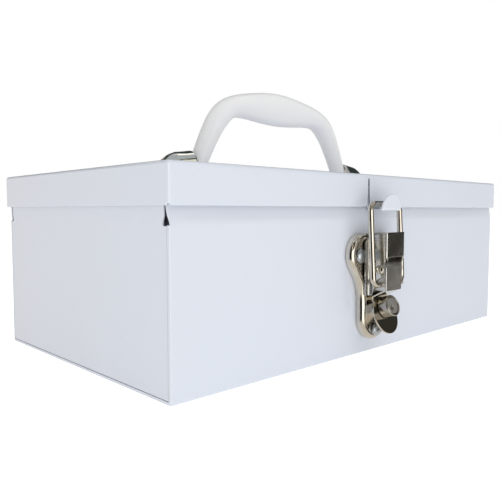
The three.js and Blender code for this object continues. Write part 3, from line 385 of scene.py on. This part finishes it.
for v in bm.verts:
    if near(v.co.y, -lid_y) and v.co.z < slit_top:
        drop = (slit_top - v.co.z) / (slit_top - lid_low.z)
        away = v.co.x - slit_x
        if away > 0:
            v.co.y -= leaf_spring * drop ** 1.5 * math.exp(-away / leaf_fade)
        else:
            v.co.y += skirt_give * drop ** 1.5 * math.exp(away / skirt_fade)
corner_foot = [v for v in bm.verts if near(v.co.z, lid_low.z)
               and abs(v.co.x) < lid_x - 1e-5 and abs(v.co.y) < lid_y - 1e-5
               and abs(v.co.x) > lid_x - lid_fold and abs(v.co.y) > lid_y - lid_fold]
bmesh.ops.translate(bm, verts=corner_foot, vec=(0, 0, corner_lift))
set_piece("lid", bm, enamel, "lid", ["lid_shell"], wall=STEEL, round_off=sheet_edge,
          outward=(0, 0, 1))

# ---- Rear hinges ----------------------------------------------------------------------
# Two plated butt hinges: a leaf on the rear wall, a leaf on the lid's skirt, and a pin
# through three rolled knuckles.


def plated_metal(name, base, tarnish, rough, brush, brush_depth):
    """Plated steel: cloudy tarnish, fine scratches drawn along one way, and dull spots."""
    plate = bpy.data.materials.new(name)
    plate.use_nodes = True
    tree = plate.node_tree
    shader = tree.nodes["Principled BSDF"]
    spot = add_node(tree, "ShaderNodeTexCoord").outputs["Object"]
    cloud = add_node(tree, "ShaderNodeTexNoise", {"Vector": spot, "Scale": 90.0, "Detail": 5.0}).outputs[0]
    cloud_range = {"Value": cloud, "From Min": 0.38, "From Max": 0.68}
    clouds = add_node(tree, "ShaderNodeMapRange", cloud_range).outputs[0]
    tree.links.new(blend_colours(tree, clouds, base, tarnish), shader.inputs["Base Color"])
    drawn = add_node(tree, "ShaderNodeMapping", {"Vector": spot, "Scale": brush}).outputs[0]
    lines = add_node(tree, "ShaderNodeTexNoise", {"Vector": drawn, "Scale": 1.0, "Detail": 6.0}).outputs[0]
    worn = add_node(tree, "ShaderNodeMath", {0: lines, 1: clouds}, operation="MULTIPLY").outputs[0]
    dull = add_node(tree, "ShaderNodeMapRange", {"Value": worn, "From Min": 0.05, "From Max": 0.6,
                                                 "To Min": rough[0], "To Max": rough[1]})
    tree.links.new(dull.outputs[0], shader.inputs["Roughness"])
    skin = add_node(tree, "ShaderNodeBump", {"Height": lines, "Strength": brush_depth, "Distance": 0.0002})
    tree.links.new(skin.outputs[0], shader.inputs["Normal"])
    shader.inputs["Metallic"].default_value = 1.0
    return plate


nickel = plated_metal("polished_nickel", (0.76, 0.72, 0.65, 1), (0.64, 0.58, 0.49, 1), (0.07, 0.17),
                      (300.0, 300.0, 1500.0), 0.02)


def dress(node, finish, body, round_off):
    """A finer copy of a CAD part: facets merged, flats cleaned and edges broken."""
    bm = bmesh.new()
    bm.from_mesh(frame["nodes"][node].data)
    bmesh.ops.remove_doubles(bm, verts=bm.verts, dist=2e-6)
    bmesh.ops.dissolve_limit(bm, angle_limit=math.radians(1.0), verts=bm.verts, edges=bm.edges)
    mesh = bpy.data.meshes.new(f"{node}_finished")
    bm.to_mesh(mesh)
    bm.free()
    mesh.shade_smooth()
    mesh.materials.clear()
    mesh.materials.append(finish)
    piece = bpy.data.objects.new(f"{node}_finished", mesh)
    bpy.context.scene.collection.objects.link(piece)
    edges = piece.modifiers.new("edges", "BEVEL")
    edges.width = round_off
    edges.segments = 2
    edges.limit_method = "ANGLE"
    edges.angle_limit = math.radians(38)
    edges.use_clamp_overlap = True
    piece.modifiers.new("shading", "WEIGHTED_NORMAL").keep_sharp = True
    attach(piece, body)
    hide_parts(node)
    return piece


body_of = {node: body for body, nodes in frame["record"]["behaviour"]["bodies"].items() for node in nodes}
for end in ("left", "right"):
    for part in ("hinge_body_leaf", "hinge_lid_leaf", "hinge_pin"):
        dress(f"{part}_{end}", nickel, body_of[f"{part}_{end}"], 0.0003)

# ---- Cantilever trays -----------------------------------------------------------------
# Two enamelled pans with spot-welded dividers hang between zinc-plated strips. Shouldered
# rivets join each strip to the pans, so the trays stay level as the lid lifts them.
tray_enamel = enamel_paint("tray_enamel", (0.74, 0.76, 0.80, 1), (0.78, 0.80, 0.84, 1),
                           (0.62, 0.64, 0.67, 1))
zinc = plated_metal("zinc_plate", (0.62, 0.67, 0.73, 1), (0.50, 0.54, 0.58, 1), (0.22, 0.42),
                    (900.0, 300.0, 300.0), 0.10)
for node, body in sorted(body_of.items()):
    if node.startswith(("upper_tray", "lower_tray")) and "rivet" not in node:
        dress(node, tray_enamel, body, 0.0003)
    elif node.startswith(("arm_", "lid_bracket", "upper_tray", "lower_tray")):
        dress(node, zinc, body, 0.00035)

# ---- Handle ---------------------------------------------------------------------------
# The grip is one smooth white moulding, thin at its feet and fat in the palm. It swings on
# steel pins in two chromed die-cast hoods, screwed down through the lid.
_, handle_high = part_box("handle_grip")
crown = handle_high.z
palm_reach, palm_flat = 0.045, 0.13
# Each station: distance from the middle, drop below the crown, half thickness, half depth.
grip_stations = [
    (0.0706, 0.0576, 0.0028, 0.0030), (0.0704, 0.0562, 0.0045, 0.0045), (0.0693, 0.0530, 0.0054, 0.0053),
    (0.0662, 0.0460, 0.0058, 0.0056), (0.0615, 0.0365, 0.0062, 0.0060), (0.0564, 0.0272, 0.0067, 0.0065),
    (0.0508, 0.0197, 0.0072, 0.0072), (0.0445, 0.0148, 0.0069, 0.0076), (0.0370, 0.0124, 0.0072, 0.0081),
    (0.0250, 0.0115, 0.0088, 0.0085), (0.0120, 0.0111, 0.0106, 0.0087), (0.0, 0.0110, 0.0112, 0.0088),
]
handle_plastic = bpy.data.materials.new("handle_plastic")
handle_plastic.use_nodes = True
tree = handle_plastic.node_tree
shader = tree.nodes["Principled BSDF"]
spot = add_node(tree, "ShaderNodeTexCoord").outputs["Object"]
cloud = add_node(tree, "ShaderNodeTexNoise", {"Vector": spot, "Scale": 30.0, "Detail": 4.0}).outputs[0]
white = blend_colours(tree, cloud, (0.92, 0.92, 0.925, 1), (0.94, 0.94, 0.94, 1))
tree.links.new(white, shader.inputs["Base Color"])
grain = add_node(tree, "ShaderNodeTexNoise", {"Vector": spot, "Scale": 1100.0, "Detail": 2.0}).outputs[0]
dull = add_node(tree, "ShaderNodeMapRange", {"Value": cloud, "To Min": 0.26, "To Max": 0.38})
tree.links.new(dull.outputs[0], shader.inputs["Roughness"])
skin = add_node(tree, "ShaderNodeBump", {"Height": grain, "Strength": 0.05, "Distance": 0.0003})
tree.links.new(skin.outputs[0], shader.inputs["Normal"])

bm = bmesh.new()
full_run = [(-x, drop, thick, deep) for x, drop, thick, deep in grip_stations[:-1]]
full_run += list(reversed(grip_stations))
rings = []
for k, (x, drop, thick, deep) in enumerate(full_run):
    before, after = full_run[max(k - 1, 0)], full_run[min(k + 1, len(full_run) - 1)]
    along = Vector((after[0] - before[0], 0, before[1] - after[1])).normalized()
    out = Vector((-along.z, 0, along.x))
    seat = Matrix((
        (out.x * thick, 0, along.x, x),
        (0, deep, 0, 0),
        (out.z * thick, 0, along.z, crown - drop),
        (0, 0, 0, 1),
    ))
    ring = bmesh.ops.create_circle(bm, segments=20, radius=1.0, matrix=seat)["verts"]
    for v in ring:
        palm = max(0.0, 1 - (v.co.x / palm_reach) ** 2)
        level = (v.co.z - (crown - drop)) / thick
        v.co.y *= 1 - palm_flat * palm * max(0.0, 1 - (level / 0.75) ** 2)
    rings.append(ring)
for first, second in zip(rings, rings[1:]):
    two_loops = [e for e in bm.edges if set(e.verts) <= set(first) or set(e.verts) <= set(second)]
    bmesh.ops.bridge_loops(bm, edges=two_loops)
for ring in (rings[0], rings[-1]):
    bmesh.ops.edgeloop_fill(bm, edges=[e for e in bm.edges if set(e.verts) <= set(ring)])
set_piece("grip", bm, handle_plastic, "handle", ["handle_grip"], divide=2)

chrome = plated_metal("chrome_plate", (0.80, 0.82, 0.83, 1), (0.72, 0.74, 0.74, 1), (0.03, 0.09),
                      (200.0, 200.0, 200.0), 0.03)
mouth_rim, mouth_deep = 0.0013, 0.0048
# Each step of a hood: distance from its mouth, then its breadth and height as shares of the mouth's.
hood_steps = [
    (0.0012, 1.0, 1.0), (0.006, 0.97, 0.95), (0.012, 0.96, 0.90), (0.0165, 0.88, 0.79),
    (0.0205, 0.72, 0.60), (0.0232, 0.50, 0.38), (0.0248, 0.22, 0.14),
]
for side, end in ((-1, "left"), (1, "right")):
    hood_low, hood_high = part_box(f"handle_hood_{end}")
    mouth_x = hood_high.x if side < 0 else hood_low.x
    wide = hood_high.y
    tall = hood_high.z - hood_low.z
    base_z = hood_low.z
    bm = bmesh.new()
    turns = [math.pi * k / 12 for k in range(13)]
    arch = [(wide * math.cos(t), tall * math.sin(t)) for t in turns]
    face = bm.faces.new([bm.verts.new((mouth_x, y, base_z + z)) for y, z in arch])
    far = (0.0, 1.0, 1.0)
    for reach, broad, high in hood_steps:
        grown = bmesh.ops.extrude_face_region(bm, geom=[face])["geom"]
        new_face = next(g for g in grown if isinstance(g, bmesh.types.BMFace))
        for v in new_face.verts:
            v.co.x += side * (reach - far[0])
            v.co.y *= broad / far[1]
            v.co.z = base_z + (v.co.z - base_z) * high / far[2]
        if far[0]:
            bm.faces.remove(face)
        face = new_face
        far = (reach, broad, high)
    bm.faces.ensure_lookup_table()
    mouths = [f for f in bm.faces if all(near(v.co.x, mouth_x) for v in f.verts)]
    for f in mouths:
        bmesh.ops.inset_region(bm, faces=[f], thickness=mouth_rim, use_even_offset=True)
        grown = bmesh.ops.extrude_face_region(bm, geom=[f])["geom"]
        bmesh.ops.translate(bm, verts=[g for g in grown if isinstance(g, bmesh.types.BMVert)],
                            vec=(side * mouth_deep, 0, 0))
        if f.is_valid:
            bm.faces.remove(f)
    set_piece(f"hood_{end}", bm, chrome, "lid", [f"handle_hood_{end}"], round_off=0.0005)
    for node in (f"handle_pin_{end}", f"hood_screw_{end}_1", f"hood_screw_{end}_2"):
        dress(node, zinc, body_of[node], 0.0003)

# ---- Latch base plate and rivets ------------------------------------------------------
# A stamped nickel-plated plate: rounded shoulder and a rolled bead round a sunk face. Three
# domed rivets hold it to the front wall.
plate_low, plate_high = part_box("latch_base_plate")
latch_x = (plate_low.x + plate_high.x) / 2
wall_y = -half_y
plate_face = plate_low.y
plate_back = wall_y - 0.0003
plate_wall, plate_skirt = 0.0008, 0.0027


def drawn_curve(points, count):
    """Points along a run of Bezier pieces, given as start, handle, handle, end, ..."""
    run = []
    for k in range(0, len(points) - 1, 3):
        a, b, c, d = (Vector((*p, 0.0)) for p in points[k:k + 4])
        run += [tuple(p.xy) for p in geometry.interpolate_bezier(a, b, c, d, count)[:-1]]
    return run + [tuple(points[-1])]


plate_half = [
    (0.0, 0.0078), (0.0072, 0.0078), (0.0130, 0.0136), (0.0130, 0.0208),
    (0.0130, 0.0335), (0.0130, 0.0365), (0.0164, 0.0435),
    (0.0190, 0.0485), (0.0235, 0.0505), (0.0235, 0.0576),
    (0.0235, 0.0642), (0.0181, 0.0696), (0.0115, 0.0696), (0.0075, 0.0696), (0.004, 0.0696), (0.0, 0.0696),
]
edge_run = drawn_curve(plate_half, 9)
edge_run += [(-u, z) for u, z in reversed(edge_run[1:-1])]
bm = bmesh.new()
face = bm.faces.new([bm.verts.new((latch_x + u, plate_back, z)) for u, z in edge_run])
grown = bmesh.ops.extrude_face_region(bm, geom=[face])["geom"]
front = next(g for g in grown if isinstance(g, bmesh.types.BMFace))
bmesh.ops.translate(bm, verts=front.verts, vec=(0, plate_face - plate_back, 0))
bm.faces.remove(face)
bend(bm, front.edges, plate_skirt, 6)
front = max(bm.faces, key=lambda f: f.calc_area())
bmesh.ops.inset_region(bm, faces=[front], thickness=0.0007, depth=0.0)
bmesh.ops.inset_region(bm, faces=[front], thickness=0.0008, depth=-0.0005)
set_piece("latch_plate", bm, nickel, "box", ["latch_base_plate"], wall=plate_wall,
          round_off=0.0002, outward=(0, -1, 0))


def turned(name, profile, centre, axis, finish, body, nodes, steps=32, round_off=0.0):
    """A piece turned on a lathe: profile is (radius, height along the axis) from pole to pole."""
    axis = Vector(axis)
    arm = axis.orthogonal().normalized()
    bm = bmesh.new()
    verts = [bm.verts.new(Vector(centre) + axis * rise + arm * radius) for radius, rise in profile]
    rail = [bm.edges.new(pair) for pair in zip(verts, verts[1:])]
    bmesh.ops.spin(bm, geom=verts + rail, cent=centre, axis=axis, dvec=(0, 0, 0), angle=math.tau,
                   steps=steps, use_merge=True, use_duplicate=False)
    bmesh.ops.remove_doubles(bm, verts=bm.verts, dist=1e-6)
    return set_piece(name, bm, finish, body, nodes, round_off=round_off)


dome_radius, dome_seat, dome_rise = 0.0040, 0.0053, 0.0018
dome_turns = [math.radians(t) for t in range(0, 90, 15)]
dome = [(dome_radius * math.cos(t), dome_seat + dome_rise * math.sin(t)) for t in dome_turns]
profile = [(0.0, -0.0025), (0.0026, -0.0025), (0.0028, -0.0023), (0.0028, -0.0013), (0.0019, -0.0012),
           (0.0019, 0.0048), (0.0039, 0.0049), *dome, (0.0, dome_seat + dome_rise)]
for k, (u, z) in enumerate(((-0.0156, 0.057), (0.0156, 0.057), (0.0, 0.014)), 1):
    turned(f"plate_rivet_{k}", profile, (latch_x + u, wall_y, z), (0, -1, 0), zinc, "box",
           [f"latch_rivet_{k}"])

# ---- Latch bracket --------------------------------------------------------------------
# A channel folded from one strip of satin nickel: a front wall, two ears cut slanting below,
# and flat feet that turn out on the plate, with rounded toes.
satin = plated_metal("satin_nickel", (0.70, 0.69, 0.66, 1), (0.55, 0.54, 0.52, 1), (0.18, 0.36),
                     (400.0, 400.0, 2200.0), 0.16)
bracket_half = 0.0091
bracket_front = wall_y - 0.0175
ear_back = wall_y - 0.0053 - STEEL
toe_reach, toe_top, toe_low = 0.0034, 0.0642, 0.0340
ear_bend, toe_round = 0.0012, 0.0014
ear_outline = [
    (bracket_front, 0.0702), (bracket_front, 0.0564), (wall_y - 0.0159, 0.0534), (wall_y - 0.0159, 0.0465),
    (wall_y - 0.0115, 0.0435), (wall_y - 0.0078, 0.0345), (ear_back, 0.0345), (ear_back, 0.0682),
]
bm = bmesh.new()
ears = {}
for side in (-1, 1):
    verts = [bm.verts.new((latch_x + side * bracket_half, y, z)) for y, z in ear_outline]
    bm.faces.new(verts)
    ears[side] = verts
bm.faces.new((ears[-1][0], ears[-1][1], ears[1][1], ears[1][0]))
for side in (-1, 1):
    back = [e for e in bm.edges if set(e.verts) == {ears[side][6], ears[side][7]}]
    grown = bmesh.ops.extrude_edge_only(bm, edges=back)["geom"]
    toe = [g for g in grown if isinstance(g, bmesh.types.BMVert)]
    for v in toe:
        v.co.x += side * toe_reach
        v.co.z = toe_top if v.co.z > 0.05 else toe_low
bend(bm, [e for e in bm.edges if len(e.link_faces) == 2], ear_bend, 4)
toes = [v for v in bm.verts if near(abs(v.co.x - latch_x), bracket_half + toe_reach)]
bmesh.ops.bevel(bm, geom=toes, offset=toe_round, offset_type="OFFSET", segments=4, profile=0.5,
                affect="VERTICES", material=-1)
set_piece("bracket", bm, satin, "box", ["latch_bracket"], wall=STEEL, round_off=0.00018,
          outward=(0, -1, 0))

# ---- Latch lever ----------------------------------------------------------------------
# The pull: a small channel that curls over its pivot. Its foot folds back to a round thumb
# tab, which leans out for the finger and carries the lock.
lever_half, lever_wall, lever_bend = 0.00785, 0.0010, 0.0007
lever_front = wall_y - 0.0166
axis_y, axis_z = wall_y - 0.0135, 0.0495
curl = axis_y - lever_front
lever_foot = 0.0376
lever_back = axis_y + 0.0044
curl_run = [(axis_y - curl * math.cos(math.radians(t)), axis_z + curl * math.sin(math.radians(t)))
            for t in range(0, 91, 15)]
side_run = [(lever_front, lever_foot), *curl_run, (lever_back, axis_z + curl), (lever_back, lever_foot)]
bm = bmesh.new()
cheeks = {}
for side in (-1, 1):
    verts = [bm.verts.new((latch_x + side * lever_half, y, z)) for y, z in side_run]
    bm.faces.new(verts)
    cheeks[side] = verts
for k in range(len(side_run) - 2):
    bm.faces.new((cheeks[-1][k], cheeks[-1][k + 1], cheeks[1][k + 1], cheeks[1][k]))
folds = [e for e in bm.edges if len(e.link_faces) == 2 and near(e.verts[0].co.x, e.verts[1].co.x)]
bend(bm, folds, lever_bend, 3)
lever_satin = plated_metal("lever_satin", (0.76, 0.75, 0.72, 1), (0.60, 0.59, 0.56, 1), (0.36, 0.52),
                           (400.0, 400.0, 2200.0), 0.16)
set_piece("lever_channel", bm, lever_satin, "lever", ["latch_lever"], wall=lever_wall,
          round_off=0.00018, outward=(0, -1, 0))

tab_lean = math.radians(-22)
tab_frame = Matrix.Translation((latch_x, wall_y - 0.0118, 0.0229)) @ Matrix.Rotation(tab_lean, 4, "X")
tab_radius, tab_bend = 0.0108, 0.0009
neck_half, neck_top = lever_half - 0.0004, 0.0110
neck_turn = math.acos(neck_half / tab_radius)
turns = [math.pi - neck_turn + k * (math.pi + 2 * neck_turn) / 36 for k in range(37)]
tab_run = [(tab_radius * math.cos(t), tab_radius * math.sin(t)) for t in turns]
tab_run += [(neck_half, neck_top), (-neck_half, neck_top)]
bm = bmesh.new()
verts = [bm.verts.new((u, 0, rise)) for u, rise in tab_run]
face = bm.faces.new(verts)
bmesh.ops.inset_region(bm, faces=[face], thickness=0.0005, depth=0.0)
bmesh.ops.inset_region(bm, faces=[face], thickness=0.0006, depth=-0.00015)
bmesh.ops.transform(bm, matrix=tab_frame, verts=bm.verts)
fold = [e for e in verts[-1].link_edges if e.other_vert(verts[-1]) == verts[-2]]
grown = bmesh.ops.extrude_edge_only(bm, edges=fold)["geom"]
for v in [g for g in grown if isinstance(g, bmesh.types.BMVert)]:
    v.co.y, v.co.z = lever_front + 0.0002, lever_foot
bend(bm, fold, tab_bend, 4)
set_piece("thumb_tab", bm, nickel, "lever", ["latch_lever"], wall=lever_wall,
          round_off=0.00025, outward=(0, -1, 0))
pin_run = [(0.0, -0.0106), (0.0016, -0.0104), (0.0024, -0.0099), (0.0026, -0.0094), (0.0015, -0.0093),
           (0.0015, 0.0093), (0.0026, 0.0094), (0.0024, 0.0099), (0.0016, 0.0104), (0.0, 0.0106)]
turned("lever_pin", pin_run, (latch_x, axis_y, axis_z), (1, 0, 0), nickel, body_of["latch_pivot_pin"],
       ["latch_pivot_pin"])

# ---- Wire bail ------------------------------------------------------------------------
# One length of polished nickel-plated wire, bent cold: into the lever, out, up a leg,
# across the keeper and back down the same way.
wire_radius = 0.0017
bail_half = 0.0143
bail_foot = Vector((0, wall_y - 0.0126, 0.0410))
bail_head = Vector((0, wall_y - 0.0100, 0.0860))
rise = (bail_head - bail_foot).normalized()
across = Vector((1, 0, 0))
bail_normal = across.cross(rise)
bm = bmesh.new()
inner = latch_x - lever_half + 0.0016
spin_frame = Matrix.Translation((inner, bail_foot.y, bail_foot.z)) @ Matrix.Rotation(math.pi / 2, 4, "Y")
bmesh.ops.create_circle(bm, segments=20, radius=wire_radius, cap_ends=True, matrix=spin_frame)
tip = next(iter(bm.faces))


def grow(bm, tip):
    """A new end face for the wire; the old one goes unless it is the first cap."""
    grown = bmesh.ops.extrude_face_region(bm, geom=[tip])["geom"]
    if any(len(e.link_faces) > 2 for e in tip.edges):
        bm.faces.remove(tip)
    return next(g for g in grown if isinstance(g, bmesh.types.BMFace))


def run_on(bm, tip, step):
    """Carries the wire's end face straight on by step."""
    tip = grow(bm, tip)
    bmesh.ops.translate(bm, verts=tip.verts, vec=step)
    return tip


def bend_on(bm, tip, centre, axis, angle, steps=8):
    """Bends the wire's end face round a former at centre."""
    for _ in range(steps):
        tip = grow(bm, tip)
        bmesh.ops.rotate(bm, verts=tip.verts, cent=centre, matrix=Matrix.Rotation(angle / steps, 3, axis))
    return tip


foot_bend, head_bend = 0.0044, 0.0042
left_leg = latch_x - bail_half
leg = (bail_head - bail_foot).length
tip = run_on(bm, tip, (left_leg + foot_bend - inner, 0, 0))
centre = Vector((left_leg + foot_bend, bail_foot.y, bail_foot.z)) + rise * foot_bend
tip = bend_on(bm, tip, centre, bail_normal, -math.pi / 2)
tip = run_on(bm, tip, rise * (leg - foot_bend - head_bend))
centre = Vector((left_leg + head_bend, bail_head.y, bail_head.z)) - rise * head_bend
tip = bend_on(bm, tip, centre, bail_normal, -math.pi / 2)
tip = run_on(bm, tip, across * (2 * bail_half - 2 * head_bend))
centre = Vector((left_leg + 2 * bail_half - head_bend, bail_head.y, bail_head.z)) - rise * head_bend
tip = bend_on(bm, tip, centre, bail_normal, -math.pi / 2)
tip = run_on(bm, tip, rise * (foot_bend + head_bend - leg))
centre = Vector((left_leg + 2 * bail_half - foot_bend, bail_foot.y, bail_foot.z)) + rise * foot_bend
tip = bend_on(bm, tip, centre, bail_normal, -math.pi / 2)
tip = run_on(bm, tip, (inner - left_leg - foot_bend, 0, 0))
set_piece("bail", bm, nickel, "bail", ["latch_bail"])

# ---- Keeper ---------------------------------------------------------------------------
# The keeper is a painted steel tongue: welded behind the lid's skirt, folded out under its
# edge and up into a rounded hook that the bail rides over.
hook_half = 0.0092
hook_foot_y = wall_y - 0.0136
hook_tip_y = hook_foot_y - 0.0008
shelf_z = 0.0831
tip_z = 0.0914
strip_y = -lid_y + STEEL + 0.0004
strip_top = lid_low.z + 0.012
strip_side = slit_x + 0.0012
keeper_wall, keeper_bend = 0.0010, 0.0009
tongue_half = [(0.0, tip_z), (0.0042, tip_z), (0.0072, 0.0895), (hook_half, 0.0852)]
tongue_run = drawn_curve(tongue_half, 9)
tongue_run = [(-u, z) for u, z in reversed(tongue_run[1:])] + tongue_run
tongue_run = [(-hook_half, shelf_z)] + tongue_run + [(hook_half, shelf_z)]
bm = bmesh.new()
verts = []
for u, z in tongue_run:
    lean = (z - shelf_z) / (tip_z - shelf_z)
    verts.append(bm.verts.new((latch_x + u, hook_foot_y + (hook_tip_y - hook_foot_y) * lean, z)))
bm.faces.new(verts)
rail = [e for e in bm.edges if set(e.verts) == {verts[0], verts[-1]}]
for z in (shelf_z, strip_top):
    grown = bmesh.ops.extrude_edge_only(bm, edges=rail)["geom"]
    rail = [g for g in grown if isinstance(g, bmesh.types.BMEdge)]
    for v in {v for e in rail for v in e.verts}:
        v.co.y, v.co.z = strip_y, z
        v.co.x = max(v.co.x, strip_side)
bend(bm, [e for e in bm.edges if len(e.link_faces) == 2], keeper_bend, 4)
set_piece("keeper", bm, enamel, "lid", ["latch_keeper"], wall=keeper_wall, round_off=0.0002,
          outward=(0, -1, 0))

# ---- Lock -----------------------------------------------------------------------------
# A small wafer lock through the thumb tab: a turned nickel barrel with a raised ring, a
# plug with a cross-shaped keyhole, and a cam behind.
lock_seat = tab_frame @ Vector((0, 0, 0.0040))
lock_way = tab_frame.to_3x3() @ Vector((0, -1, 0))
barrel_run = [(0.0, -0.0014), (0.0044, -0.0014), (0.0044, 0.0003), (0.0059, 0.0003), (0.0062, 0.0006),
              (0.0062, 0.0055), (0.0061, 0.0061), (0.0058, 0.0065), (0.0054, 0.0066), (0.0051, 0.0065),
              (0.0049, 0.0061), (0.0049, 0.0040), (0.0, 0.0040)]
# Painted shade: the barrel is a copy of the nickel made much darker, standing in for the dark reflection it
# shows.
barrel_painted_shade_metal = plated_metal("barrel_nickel_painted_shade", (0.48, 0.46, 0.42, 1), (0.36, 0.34, 0.30, 1), (0.08, 0.20),
                            (90.0, 90.0, 90.0), 0.04)
turned("lock_barrel", barrel_run, lock_seat, lock_way, barrel_painted_shade_metal, "lever",
       ["lock_cylinder"], steps=40)
plug_metal = plated_metal("plug_nickel", (0.80, 0.78, 0.76, 1), (0.68, 0.66, 0.63, 1), (0.50, 0.65),
                          (300.0, 300.0, 1800.0), 0.12)
dress("lock_plug", plug_metal, body_of["lock_plug"], 0.00015)
dress("lock_cam", zinc, body_of["lock_cam"], 0.0002)
